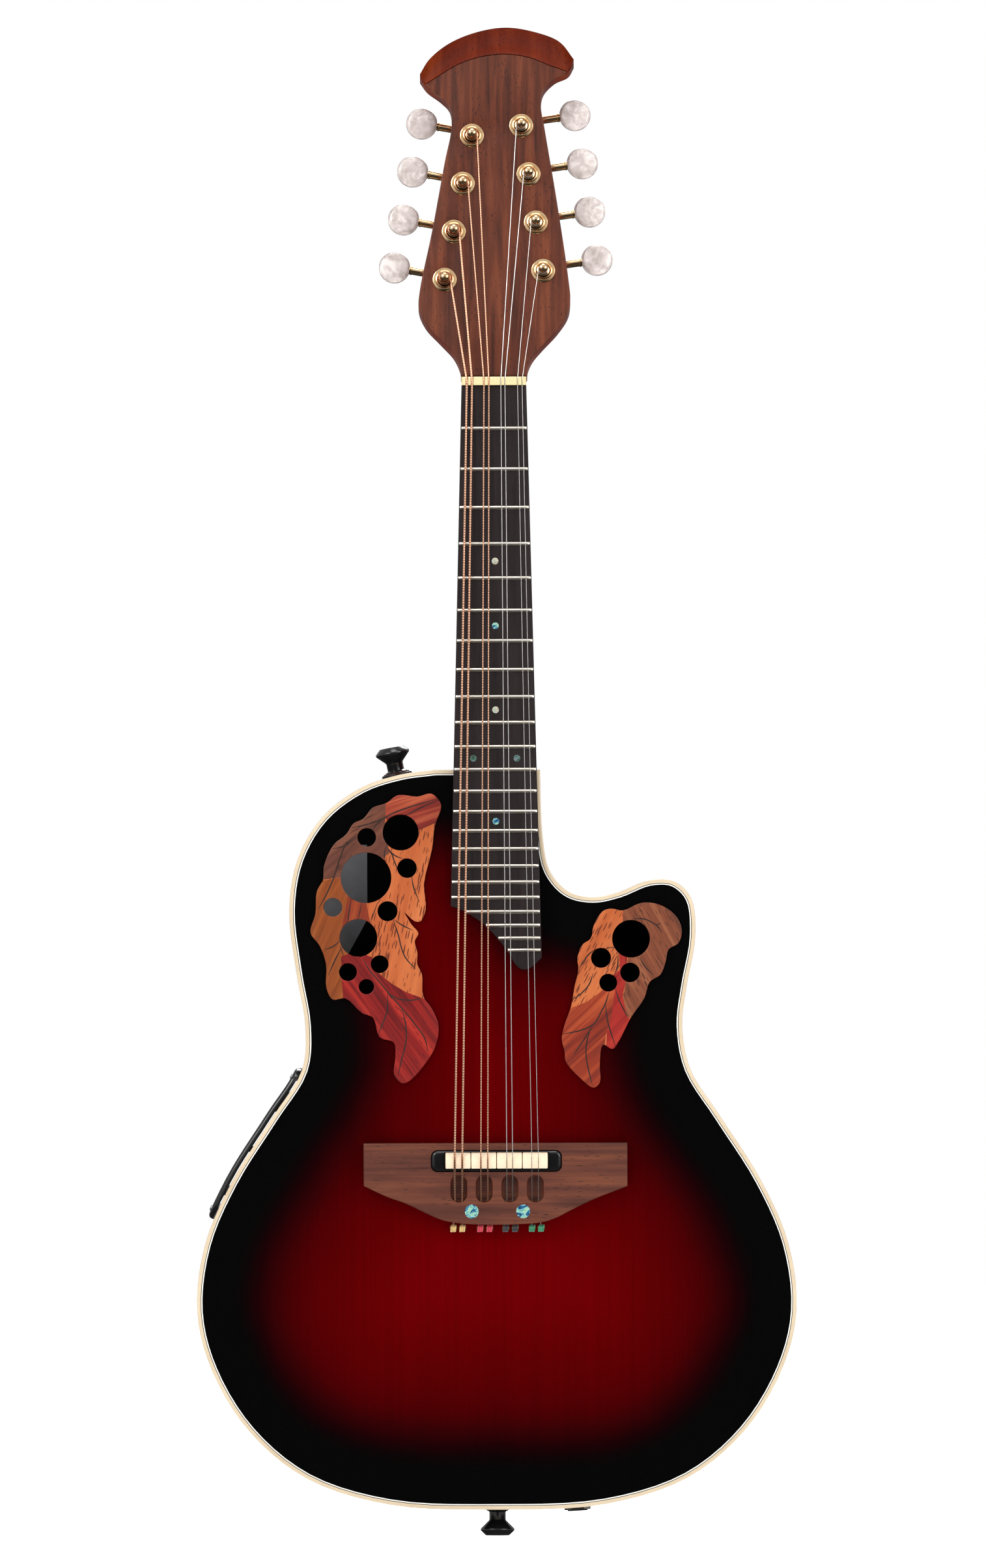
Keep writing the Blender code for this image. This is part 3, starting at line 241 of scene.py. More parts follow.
TREBLE_PATCHES = (
    (
        "walnut_horn",
        ((58.6, 300), (59, 284), (61.5, 266), (60, 256), (58.5, 246), (60.7, 240), (95, 240), (95, 300)),
    ),
    (
        "padauk_stem",
        (
            (57.2, 272), (61, 270), (60.5, 258), (58.6, 250), (60.7, 240.2), (66, 236), (60, 220),
            (50.5, 220), (51.5, 236), (50.5, 256), (57.5, 262),
        ),
    ),
    (
        "padauk_lobe",
        (
            (30, 243.6), (35, 244.4), (42, 247), (48, 251.3), (52.5, 256), (55, 252), (53.5, 240),
            (51, 232), (50, 226), (52, 200), (25, 200),
        ),
    ),
)
BASS_VEINS = (
    ((-26.7, 341.3), (-36.9, 338.3), (-46.6, 334.9), (-53.4, 331.5), (-61.2, 329), (-66.5, 328)),
    ((-28, 339.8), (-36, 336.4), (-43, 332.5)), ((-52, 332.2), (-55, 329.5), (-56.5, 327)),
    ((-75.2, 318.2), (-69.5, 319.7), (-64.6, 323.6)),
    ((-64.1, 325.1), (-69.5, 319.7), (-71.9, 313.8), (-74.8, 305), (-78.2, 297.2), (-82.1, 290.3)),
    ((-50.2, 320.5), (-51.3, 316), (-51.4, 311.5)),
    ((-49.9, 318), (-48, 315.8), (-46.6, 311.9), (-44.6, 307.2)),
    ((-49.9, 318.6), (-46.8, 315.2), (-42.5, 313.4)), ((-38.8, 305.2), (-37.8, 300), (-35.2, 293.4)),
    ((-47.1, 285.4), (-42.7, 282.5), (-38.2, 280.4)),
    ((-47.4, 285.2), (-45.1, 278.5), (-43.7, 272.6), (-41.7, 267.7), (-37.0, 262.4)),
    ((-66.8, 295.2), (-68, 287.4), (-68.6, 283)), ((-61.7, 293.4), (-63.6, 285.2)),
    ((-54.6, 293.4), (-57.8, 284.2)), ((-71.9, 275.6), (-75.5, 272.9), (-79, 271.6)),
    ((-71.3, 272.6), (-74.8, 265.8), (-77.5, 259.6)), ((-72.2, 273.5), (-70.4, 268.6)),
    (
        (-62.2, 268.4), (-58.3, 261.9), (-53.4, 256), (-48.5, 250.1), (-43.7, 244.7), (-37.8, 237.4),
        (-33, 230.5), (-31.5, 224.6),
    ),
    ((-49.5, 251.1), (-44.7, 248.6), (-38.8, 248.1), (-34.6, 248.7)),
    ((-50.0, 251.8), (-50.3, 243.2), (-52.4, 237.4), (-54.6, 232.2)),
    ((-43.7, 244.7), (-41.7, 236.4), (-41.7, 228.5), (-43.7, 220.7), (-45.3, 213.4)),
)
TREBLE_VEINS = (
    ((46.2, 271.6), (42.5, 268.4), (38.6, 262.4)), ((54.6, 272.4), (50.6, 271.6)),
    ((45.1, 260.4), (43.2, 255.2), (39.6, 251), (35.4, 248.1)),
    (
        (52.4, 251.8), (50.7, 246.3), (48.8, 242.6), (45.8, 237.3), (41.9, 234.8), (36.9, 233.3),
        (30.9, 232.1),
    ),
    ((44.6, 235.6), (41.4, 230.7), (38.4, 226.2), (36.0, 222.6)),
    ((43.8, 235), (41.9, 228), (41.7, 221.7), (42.9, 215), (44.5, 208.6)),
    ((50.7, 246.3), (51.4, 239.6), (52.9, 233.6), (55.3, 226.6)),
    ((55.2, 253.4), (57, 247.8), (59.2, 243.3), (60.7, 240.3)), ((56.6, 269.6), (56.4, 264), (54.8, 259)),
    ((63, 285.4), (68.9, 285.3), (71.9, 283.9), (74.5, 282.3), (77.1, 279)),
    ((74.1, 282.6), (76.6, 283.2)), ((66.7, 267.4), (68.9, 263.4), (72.6, 259.7)),
    ((60.3, 267.6), (60.2, 265)), ((65.2, 257), (66.4, 254.4)),
)
VEIN_WIDTH = 0.62
BRIDGE_SWEEP = (
    (-61.4, 162.2), (-51, 157.3), (-42, 154), (-33, 149.7), (-26, 146.6), (-20, 145.2),
    (-10, 144.3), (10, 144.3), (21, 145.2), (27, 147), (35, 151), (45, 155.8), (60.6, 161.8),
)
HEAD_BASS_EDGE = (
    (-15.2, 0.4), (-15.5, 4), (-18.4, 10.6), (-24.6, 17.6), (-31.3, 25), (-34.6, 32.5), (-34.2, 40.5),
    (-28.4, 69), (-22.4, 102), (-19.3, 118), (-20, 128), (-24, 132.6), (-30.5, 137.6), (-33.8, 142.2),
)
CROWN = (
    (-33.8, 142.2), (-29.6, 149.1), (-20.6, 156.6), (-8, 162),
    (6, 164.3), (20, 162), (31, 157.4), (37.5, 149.1),
)
HEAD_TREBLE_EDGE = (
    (37.5, 149.1), (35, 144.8), (28.6, 141.6), (23.4, 136), (22.2, 129), (24, 117), (29.4, 83.5),
    (34.7, 46), (35.5, 36.5), (34.4, 30), (29.5, 22.4), (22, 14.2), (17.8, 9), (15.7, 4), (15.4, 0.4),
)
SCOOP_FOOT = (
    (-31, 139.2), (-24, 143.8), (-15, 149), (-5, 152.2), (6, 153.3), (17, 151.6), (26, 148), (34.4, 145),
)


# Placements


def placement(origin, across, up, forward):
    """A placement whose origin is in metres and whose axes are unit vectors."""
    place = Matrix((across, up, forward)).transposed().to_4x4()
    place.translation = Vector(origin)
    return place


def at(place, across, up, forward):
    """A point of a placement, in metres."""
    return place @ (Vector((across, up, forward)) * MM)


BODY = placement((0, SOUNDBOARD_Y * MM, 0), (1, 0, 0), (0, 0, 1), (0, -1, 0))
HEAD = placement(
    at(BODY, 0, NUT_FACE + NUT_THICKNESS, VENEER_THICKNESS),
    (1, 0, 0),
    (0, math.sin(HEAD_TILT), math.cos(HEAD_TILT)),
    (0, -math.cos(HEAD_TILT), math.sin(HEAD_TILT)),
)
JOINTS = {joint["name"]: joint for joint in frame["joints"]}


def facing(origin, forward, across):
    """A placement from its origin, its forward axis and its across axis."""
    forward, across = Vector(forward).normalized(), Vector(across).normalized()
    return placement(origin, across, forward.cross(across), forward)


def machine_places(number):
    """A tuning machine's post, facing out of the headstock, and its worm shaft, facing out to its button."""
    post, shaft = JOINTS[f"post_turn_{number}"], JOINTS[f"tuner_turn_{number}"]
    front = Vector(post["axis"])
    offset = Vector(shaft["pos_m"]) - Vector(post["pos_m"])
    along = (offset - front * offset.dot(front)).normalized()
    return facing(post["pos_m"], front, along), facing(shaft["pos_m"], shaft["axis"], -along)


def fitting_place(across, up, height, lean):
    """A placement in the body's edge that faces out of it, leaning from straight down."""
    turn = BODY.to_3x3()
    outward = Vector((math.sin(lean), -math.cos(lean), 0.0))
    sideways = Vector((math.cos(lean), math.sin(lean), 0.0))
    return facing(at(BODY, across, up, height), turn @ outward, turn @ sideways)


def panel_place():
    """The control panel: across is up the body's side, and forward is out of it."""
    knob = JOINTS["volume_turn"]
    across = Vector(JOINTS["bass_slide"]["axis"])
    return facing(Vector(knob["pos_m"]) - across * KNOB_SPOT * MM, knob["axis"], across)


END_BUTTON = fitting_place(0.0, STRAP_BUTTON_LENGTH, FITTING_AXIS, 0.0)
SHOULDER_BUTTON = fitting_place(-45.6, 353.0, FITTING_AXIS, math.radians(180 + 11.5))
JACK = fitting_place(37.0, 13.9, -24.0, math.radians(3))
PANEL = panel_place()


def shift(across=0.0, up=0.0, forward=0.0):
    return Matrix.Translation((across, up, forward))


def turn(degrees, axis):
    return Matrix.Rotation(math.radians(degrees), 4, axis)


def inside_body(place):
    """A placement in the body's axes, in millimetres."""
    local = BODY.inverted() @ place
    local.translation = local.translation / MM
    return local


# Curves and rings


def smooth(points, steps):
    """An open centripetal Catmull-Rom curve through the points, with steps segments between each two."""
    points = [Vector(point) for point in points]
    run = [2 * points[0] - points[1], *points, 2 * points[-1] - points[-2]]
    curve = []
    for p0, p1, p2, p3 in zip(run, run[1:], run[2:], run[3:]):
        t0 = 0.0
        t1 = t0 + math.sqrt((p1 - p0).length)
        t2 = t1 + math.sqrt((p2 - p1).length)
        t3 = t2 + math.sqrt((p3 - p2).length)
        for step in range(steps):
            t = t1 + (t2 - t1) * step / steps
            a1 = p0.lerp(p1, (t - t0) / (t1 - t0))
            a2 = p1.lerp(p2, (t - t1) / (t2 - t1))
            a3 = p2.lerp(p3, (t - t2) / (t3 - t2))
            b1 = a1.lerp(a2, (t - t0) / (t2 - t0))
            b2 = a2.lerp(a3, (t - t1) / (t3 - t1))
            curve.append(b1.lerp(b2, (t - t1) / (t2 - t1)))
    curve.append(points[-1])
    return curve


def closed_smooth(points, steps):
    """The same curve, closed: its ends run on through their neighbours."""
    points = list(points)
    lapped = smooth(points[-2:] + points + points[:2], steps)
    return lapped[2 * steps : (len(points) + 2) * steps]


def circle(radius, sides, centre=(0.0, 0.0)):
    turns = [2 * math.pi * side / sides for side in range(sides)]
    return [Vector((centre[0] + radius * math.cos(t), centre[1] + radius * math.sin(t))) for t in turns]


def rounded_box(width, height, radius, centre=(0.0, 0.0), corner_steps=6):
    """A rectangle with round corners, anticlockwise from its lower right corner."""
    points = []
    for quarter, (sx, sy) in enumerate(((1, -1), (1, 1), (-1, 1), (-1, -1))):
        middle = Vector((centre[0] + sx * (width / 2 - radius), centre[1] + sy * (height / 2 - radius)))
        for step in range(corner_steps + 1):
            angle = math.radians(90) * (quarter - 1 + step / corner_steps)
            points.append(middle + radius * Vector((math.cos(angle), math.sin(angle))))
    return points


def anticlockwise(outline):
    area = sum(a.x * b.y - b.x * a.y for a, b in zip(outline, outline[1:] + outline[:1]))
    return outline if area > 0 else outline[::-1]


def inset(outline, distance):
    """A closed outline moved inwards by a distance, with mitred corners, in its own order."""
    area = sum(a.x * b.y - b.x * a.y for a, b in zip(outline, outline[1:] + outline[:1]))
    side = 1 if area > 0 else -1
    shifted = []
    for before, here, after in zip(outline[-1:] + outline[:-1], outline, outline[1:] + outline[:1]):
        first = (here - before).normalized()
        second = (after - here).normalized()
        normal = Vector((-(first + second).y, (first + second).x)).normalized() * side
        lean = max(0.5, normal.dot(Vector((-first.y, first.x)) * side))
        shifted.append(here + normal * distance / lean)
    return shifted


def raised(outline, height):
    return [Vector((point.x, point.y, height)) for point in outline]


def resampled(points, count):
    """The same open line with evenly spaced points."""
    lengths = [0.0]
    for a, b in zip(points, points[1:]):
        lengths.append(lengths[-1] + (b - a).length)
    spots = []
    for k in range(count):
        target = lengths[-1] * k / (count - 1)
        i = max(1, next(j for j, length in enumerate(lengths) if length >= target - 1e-5))
        share = (target - lengths[i - 1]) / (lengths[i] - lengths[i - 1])
        spots.append(points[i - 1].lerp(points[i], share))
    return spots


def subdivided(outline, spacing):
    """The same closed outline with points no further apart than a spacing."""
    points = []
    for here, after in zip(outline, outline[1:] + outline[:1]):
        pieces = max(1, math.ceil((after - here).length / spacing))
        points += [here.lerp(after, piece / pieces) for piece in range(pieces)]
    return points


# Shapes


def loft(rings, loop=False):
    """A closed skin over rings of equal count, flat at both ends or running round into itself."""
    bm = bmesh.new()
    rows = [[bm.verts.new(point) for point in ring] for ring in rings]
    pairs = list(zip(rows, rows[1:]))
    if loop:
        pairs.append((rows[-1], rows[0]))
    else:
        bm.faces.new(rows[0])
        bm.faces.new(rows[-1])
    for lower, upper in pairs:
        for i in range(len(lower)):
            j = (i + 1) % len(lower)
            bm.faces.new((lower[i], lower[j], upper[j], upper[i]))
    bmesh.ops.recalc_face_normals(bm, faces=bm.faces)
    return bm


def turned(profile, sides=32):
    """A turned piece: (radius, height) pairs from one end of its axis to the other."""
    return loft([raised(circle(radius, sides), height) for radius, height in profile])


def rounded_profile(profile, steps):
    """A profile with a smooth curve run through its points."""
    return [(point.x, point.y) for point in smooth(profile, steps)]


def filled(outline, holes, patches, pitch):
    """Triangles over a flat outline: its points, the triangles and the patch that each is in."""
    rings = [anticlockwise(list(ring)) for ring in (outline, *holes, *patches)]
    points, faces = [], []
    for ring in rings:
        faces.append(list(range(len(points), len(points) + len(ring))))
        points += ring
    if pitch:
        points += inner_grid(outline, holes, pitch)
    spots, _, triangles, _, _, owners = geometry.delaunay_2d_cdt(points, [], faces, 0, 1e-4)
    kept, numbers = [], []
    for triangle, owner in zip(triangles, owners):
        if 0 not in owner or any(1 <= ring <= len(holes) for ring in owner):
            continue
        kept.append(list(triangle))
        numbers.append(max(0, max(owner) - len(holes)))
    return spots, kept, numbers


def inner_grid(outline, holes, pitch):
    """Grid points well inside an outline, for patterns that follow its edge."""
    lows = [min(point[axis] for point in outline) for axis in (0, 1)]
    highs = [max(point[axis] for point in outline) for axis in (0, 1)]
    rings = [outline, *holes]
    spots = []
    for column in range(1, int((highs[0] - lows[0]) / pitch)):
        for row in range(1, int((highs[1] - lows[1]) / pitch)):
            spot = Vector((lows[0] + column * pitch, lows[1] + row * pitch))
            if min((point - spot).length for ring in rings for point in ring) > 0.8 * pitch:
                spots.append(spot)
    return spots


def slab(outline, low, high, holes=(), patches=(), pitch=0.0, over=0.0, under=0.0, steps=3):
    """A flat plate between two heights, with holes, patches of other materials and rounded rims.

    over and under are the radii of the rims at the top and at the bottom.
    """
    spots, triangles, owners = filled(outline, holes, patches, pitch)
    edges = {}
    for number, (a, b, c) in enumerate(triangles):
        for edge in ((a, b), (b, c), (c, a)):
            edges[edge] = number
    rim = {edge: number for edge, number in edges.items() if edge[::-1] not in edges}
    inward = {}
    for a, b in rim:
        run = (spots[b] - spots[a]).normalized()
        for end in (a, b):
            inward.setdefault(end, []).append(Vector((-run.y, run.x)))
    for end, normals in inward.items():
        middle = sum(normals, Vector((0.0, 0.0))).normalized()
        inward[end] = middle / max(0.5, middle.dot(normals[0]))
    quarter = [math.radians(90) * step / steps for step in range(steps + 1)]
    levels = [(0.0, low)]
    if under:
        levels = [(under * (1 - math.sin(t)), low + under * (1 - math.cos(t))) for t in quarter]
    if over:
        levels += [(over * (1 - math.cos(t)), high - over * (1 - math.sin(t))) for t in quarter]
    else:
        levels.append((0.0, high))
    bm = bmesh.new()
    rows = []
    for offset, height in levels:
        moved_spots = {end: spots[end] + inward[end] * offset for end in inward}
        rows.append({end: bm.verts.new((*spot, height)) for end, spot in moved_spots.items()})
    used = {corner for triangle in triangles for corner in triangle}
    for row, height, flip in ((rows[0], low, True), (rows[-1], high, False)):
        corners = {v: row[v] if v in row else bm.verts.new((*spots[v], height)) for v in used}
        for triangle, owner in zip(triangles, owners):
            order = triangle[::-1] if flip else triangle
            bm.faces.new([corners[v] for v in order]).material_index = owner
    for (a, b), number in rim.items():
        for lower, upper in zip(rows, rows[1:]):
            bm.faces.new((lower[a], lower[b], upper[b], upper[a])).material_index = owners[number]
    return bm


def block(size, centre):
    bm = bmesh.new()
    bmesh.ops.create_cube(bm, size=1.0, matrix=Matrix.LocRotScale(Vector(centre), None, Vector(size)))
    return bm


def tube(points, radii, sides=14):
    """A round bar along a path up the body, with its own radius at each point."""
    rings = []
    turns = [2 * math.pi * side / sides for side in range(sides)]
    for i, (point, radius) in enumerate(zip(points, radii)):
        along = (points[min(i + 1, len(points) - 1)] - points[max(i - 1, 0)]).normalized()
        across = along.cross(Vector((0, 0, 1))).normalized()
        upward = across.cross(along)
        rings.append([point + radius * (math.cos(t) * across + math.sin(t) * upward) for t in turns])
    return loft(rings)


def moved(bm, matrix):
    bmesh.ops.transform(bm, matrix=matrix, verts=bm.verts)
    return bm


def joined(*parts):
    """Separate shapes in one mesh. Each part's faces keep their own material numbers."""
    whole = parts[0]
    for part in parts[1:]:
        spare = bpy.data.meshes.new("spare")
        part.to_mesh(spare)
        part.free()
        whole.from_mesh(spare)
        bpy.data.meshes.remove(spare)
    return whole


def painted(bm, number):
    """The same shape with every face on one of its piece's materials."""
    for face in bm.faces:
        face.material_index = number
    return bm


def combined(bm, tool, operation):
    """A shape with another cut out of it or added to it."""
    things = []
    for shape in (bm, tool):
        mesh = bpy.data.meshes.new("shape")
        shape.to_mesh(mesh)
        shape.free()
        things.append(bpy.data.objects.new("shape", mesh))
        bpy.context.collection.objects.link(things[-1])
    change = things[0].modifiers.new("change", "BOOLEAN")
    change.operation = operation
    change.object = things[1]
    result = evaluated_mesh(things[0])
    for thing in things:
        bpy.data.objects.remove(thing)
    made = bmesh.new()
    made.from_mesh(result)
    bpy.data.meshes.remove(result)
    return made


def cut(bm, *tools):
    return combined(bm, joined(*tools), "DIFFERENCE")


SHARP_EDGE = math.radians(30)


def softened(bm, width, segments=2):
    """The same shape with its sharp edges rounded over."""
    bmesh.ops.remove_doubles(bm, verts=bm.verts, dist=0.002)
    edges = [e for e in bm.edges if len(e.link_faces) == 2 and e.calc_face_angle() > SHARP_EDGE]
    bmesh.ops.bevel(
        bm, geom=edges, offset=width, segments=segments, profile=0.5, affect="EDGES", clamp_overlap=True,
        miter_outer="ARC",
    )
    return bm


def evaluated_mesh(thing):
    bpy.context.view_layer.update()
    graph = bpy.context.evaluated_depsgraph_get()
    return bpy.data.meshes.new_from_object(thing.evaluated_get(graph))


# Pieces


def add_piece(name, shape, materials, body=BODY_NAME, stands_for=(), place=BODY, sharp=32):
    """Makes a finished piece, with its place in its mesh, from a shape in a placement's millimetres."""
    if isinstance(shape, bmesh.types.BMesh):
        mesh = bpy.data.meshes.new(name)
        shape.to_mesh(mesh)
        shape.free()
    else:
        mesh = shape
        mesh.materials.clear()
    mesh.transform(place @ Matrix.Scale(MM, 4))
    mesh.shade_smooth()
    mesh.set_sharp_from_angle(angle=math.radians(sharp))
    for material in materials:
        mesh.materials.append(material)
    piece = bpy.data.objects.new(name, mesh)
    bpy.context.collection.objects.link(piece)
    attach(piece, body)
    if stands_for:
        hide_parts(*stands_for)
    return piece


# Node trees

NOISE, VORONOI, WAVE = "ShaderNodeTexNoise", "ShaderNodeTexVoronoi", "ShaderNodeTexWave"
RAMP, MIX, MATH, BUMP = "ShaderNodeValToRGB", "ShaderNodeMix", "ShaderNodeMath", "ShaderNodeBump"
VECTOR = "ShaderNodeVectorMath"
BLEND = {"data_type": "RGBA"}
DARKEN = {"data_type": "RGBA", "blend_type": "MULTIPLY"}


def linear(colour):
    """The linear red, green, blue and alpha of a hex sRGB colour."""
    channels = [int(colour[i : i + 2], 16) / 255 for i in (1, 3, 5)]
    curved = [c / 12.92 if c <= 0.04045 else ((c + 0.055) / 1.055) ** 2.4 for c in channels]
    return (*curved, 1.0)


def add(tree, kind, settings=None, inputs=None, stops=()):
    """Adds a node with its settings and its inputs, and a colour ramp with its stops.

    An input goes by name or number. It takes a value, a socket, or a node for that node's first output.
    A stop is a position and a hex colour or a grey level.
    """
    made = tree.nodes.new(kind)
    for name, value in (settings or {}).items():
        setattr(made, name, value)
    for key, value in (inputs or {}).items():
        source = value.outputs[0] if isinstance(value, bpy.types.Node) else value
        if isinstance(source, bpy.types.NodeSocket):
            tree.links.new(source, made.inputs[key])
        else:
            made.inputs[key].default_value = source
    for number, (position, tone) in enumerate(stops):
        if number >= len(made.color_ramp.elements):
            made.color_ramp.elements.new(1.0)
        element = made.color_ramp.elements[number]
        element.position = position
        element.color = linear(tone) if isinstance(tone, str) else (tone, tone, tone, 1.0)
    return made


def new_material(name):
    material = bpy.data.materials.new(name)
    material.use_nodes = True
    material.node_tree.nodes.clear()
    return material, material.node_tree


def surface(tree, inputs):
    """Closes a material's tree with its one Principled shader."""
    shader = add(tree, "ShaderNodeBsdfPrincipled", None, inputs)
    add(tree, "ShaderNodeOutputMaterial", None, {"Surface": shader})


def spaced(tree, sizes, turns=(0.0, 0.0, 0.0)):
    """Object coordinates, turned, then scaled so that one unit is a number of millimetres on each axis."""
    place = add(tree, "ShaderNodeTexCoord").outputs["Object"]
    turned_place = add(tree, "ShaderNodeMapping", None, {
        "Vector": place, "Rotation": [math.radians(angle) for angle in turns],
    })
    return add(tree, "ShaderNodeMapping", None, {
        "Vector": turned_place, "Scale": [1.0 / (size * MM) for size in sizes],
    })


# Materials: woods


def wood(name, tones, across, lean=0.0, rings=5.0, streak=0.5, pores=0.0, pore_tone="#2a1612",
         roughness=0.42, coat=0.0):
    """Sawn and sanded wood, whose grain runs up the instrument until it leans.

    tones are the dark, middle and light colours and across is the width of the finest fibres in millimetres.
    rings is the spacing of its growth bands, streak how strongly they show, and pores the reach of the open
    pores as a share of the spacing between them.
    """
    material, tree = new_material(name)
    tilt = (0.0, lean, 0.0)
    fibres = add(tree, NOISE, None, {
        "Vector": spaced(tree, (across, across * 2, across * 22), tilt), "Scale": 1.0, "Detail": 4.0,
        "Roughness": 0.6,
    })
    wander = add(tree, NOISE, None, {
        "Vector": spaced(tree, (rings * 1.5, rings * 3, rings * 11), tilt), "Scale": 1.0, "Detail": 3.0,
        "Distortion": 0.4,
    })
    bands = add(tree, NOISE, None, {
        "Vector": spaced(tree, (rings, rings * 4, rings * 26), tilt), "Scale": 1.0, "Roughness": 0.6,
        "Distortion": 0.7,
    })
    figure = add(tree, MIX, None, {0: streak, 2: wander, 3: bands})
    colour = add(tree, RAMP, None, {0: figure}, ((0.30, tones[0]), (0.5, tones[1]), (0.70, tones[2])))
    shade = add(tree, RAMP, None, {0: fibres}, ((0.25, 0.70), (0.75, 1.0)))
    colour = add(tree, MIX, DARKEN, {0: 0.75, 6: colour, 7: shade}).outputs[2]
    height = fibres
    if pores:
        cells = add(tree, VORONOI, None, {"Vector": spaced(tree, (0.85, 0.85, 7.0), tilt), "Scale": 1.0})
        wide = spaced(tree, (7, 7, 22), tilt)
        patchy = add(tree, NOISE, None, {"Vector": wide, "Scale": 1.0, "Detail": 3.0})
        reach = add(tree, RAMP, None, {0: patchy}, ((0.35, 0.35 * pores), (0.65, pores)))
        pore = add(tree, MATH, {"operation": "LESS_THAN"}, {0: cells, 1: reach})
        cover = add(tree, MATH, {"operation": "MULTIPLY"}, {0: pore, 1: 0.9})
        colour = add(tree, MIX, BLEND, {0: cover, 6: colour, 7: linear(pore_tone)}).outputs[2]
        height = add(tree, MATH, {"operation": "SUBTRACT"}, {0: fibres, 1: pore})
    relief = add(tree, BUMP, None, {"Height": height, "Distance": 0.06 * MM, "Strength": 0.5})
    surface(tree, {
        "Base Color": colour, "Roughness": roughness, "Specular IOR Level": 0.25, "Coat Weight": coat,
        "Coat Roughness": 0.12, "Normal": relief,
    })
    return material


LEAF_WOODS = {
    # name: tones, lean of the grain, ring spacing, streak, pores, pore tone
    "mahogany_leaf": (("#94421e", "#b1582c", "#c66f3e"), -12, 7.0, 0.35, 0.42, "#5c2412"),
    "walnut_leaf": (("#4b2a20", "#63382b", "#7a4a36"), -52, 3.0, 0.6, 0.3, "#3d2018"),
    "olive_leaf": (("#6a3010", "#874218", "#a05a24"), -24, 3.6, 0.7, 0.0, "#603a18"),
    "umber_leaf": (("#6c2415", "#823019", "#94401f"), -14, 3.0, 0.7, 0.0, "#603a18"),
    "padauk_tip": (("#4e1014", "#852a1e", "#b05838"), -72, 3.2, 0.85, 0.0, "#5a1a1a"),
    "padauk_foot": (("#460a10", "#801513", "#a5281c"), 36, 3.2, 0.85, 0.26, "#4e1215"),
    "mahogany_horn": (("#94421e", "#b1582c", "#c66f3e"), -28, 6.0, 0.35, 0.42, "#5c2412"),
    "walnut_horn": (("#5a3020", "#7a412a", "#905639"), 28, 2.8, 0.8, 0.3, "#43241a"),
    "padauk_stem": (("#761513", "#96211b", "#ae2f20"), -42, 3.2, 0.7, 0.0, "#5a1a1a"),
    "padauk_lobe": (("#5e1c16", "#8c3018", "#aa4a26"), -48, 3.4, 0.85, 0.0, "#5a1a1a"),
}


def leaf_wood(name):
    """Veneer of the leaf panels, sliced, inlaid and rubbed to a satin finish."""
    tones, lean, rings, streak, pores, pore_tone = LEAF_WOODS[name]
    return wood(name + "_veneer", tones, 0.5, lean, rings, streak, pores, pore_tone, 0.4, 0.2)


BURST_STOPS = (
    # millimetres in from the body's edge, and the lacquer's colour there
    (0, "#050505"), (18, "#050505"), (23, "#090304"), (29, "#180103"), (36, "#2b0103"), (45, "#3f0002"),
    (55, "#490002"), (72, "#520002"), (100, "#5e0003"),
)
BURST_REACH = 140.0
SPRAY_WANDER = 9.0


def burst_lacquer():
    """Spruce under sprayed lacquer: clear deep red that darkens to opaque black at the rim, then buffed."""
    material, tree = new_material("spruce_red_burst_lacquer")
    depth = add(tree, "ShaderNodeAttribute", {"attribute_name": "edge_distance"}).outputs["Fac"]
    cloud = add(tree, NOISE, None, {"Vector": spaced(tree, (60, 60, 60)), "Scale": 1.0})
    sprayed = add(tree, MATH, {"operation": "MULTIPLY_ADD"}, {0: cloud, 1: SPRAY_WANDER, 2: depth})
    centred = add(tree, MATH, {"operation": "SUBTRACT"}, {0: sprayed, 1: SPRAY_WANDER / 2})
    share = add(tree, MATH, {"operation": "DIVIDE"}, {0: centred, 1: BURST_REACH})
    colour = add(tree, RAMP, None, {0: share}, [(reach / BURST_REACH, tone) for reach, tone in BURST_STOPS])
    grain = add(tree, NOISE, None, {"Vector": spaced(tree, (1.3, 1.3, 160.0)), "Scale": 1.0})
    shade = add(tree, RAMP, None, {0: grain}, ((0.3, 0.86), (0.7, 1.0)))
    colour = add(tree, MIX, DARKEN, {0: 1.0, 6: colour, 7: shade}).outputs[2]
    wave = add(tree, NOISE, None, {"Vector": spaced(tree, (35, 35, 35)), "Scale": 1.0, "Detail": 1.0})
    relief = add(tree, BUMP, None, {"Height": wave, "Distance": 0.05 * MM, "Strength": 0.25})
    surface(tree, {
        "Base Color": colour, "Roughness": 0.6, "Specular IOR Level": 0.0, "Coat Weight": 1.0,
        "Coat Roughness": 0.02, "Coat Normal": relief,
    })
    return material


# Materials: plastics, bone and shell


def plastic(name, tones, roughness, grain=0.4, depth=0.01, coat=0.0, blotch=20.0):
    """An even colour with faint clouding, and a fine grain from the mould or the tool."""
    material, tree = new_material(name)
    cloud = add(tree, NOISE, None, {"Vector": spaced(tree, (blotch,) * 3), "Scale": 1.0, "Detail": 3.0})
    colour = add(tree, RAMP, None, {0: cloud}, ((0.3, tones[0]), (0.7, tones[1])))
    grains = add(tree, NOISE, None, {"Vector": spaced(tree, (grain,) * 3), "Scale": 1.0})
    relief = add(tree, BUMP, None, {"Height": grains, "Distance": depth * MM, "Strength": 0.6})
    surface(tree, {
        "Base Color": colour, "Roughness": roughness, "Coat Weight": coat, "Coat Roughness": 0.05,
        "Normal": relief,
    })
    return material


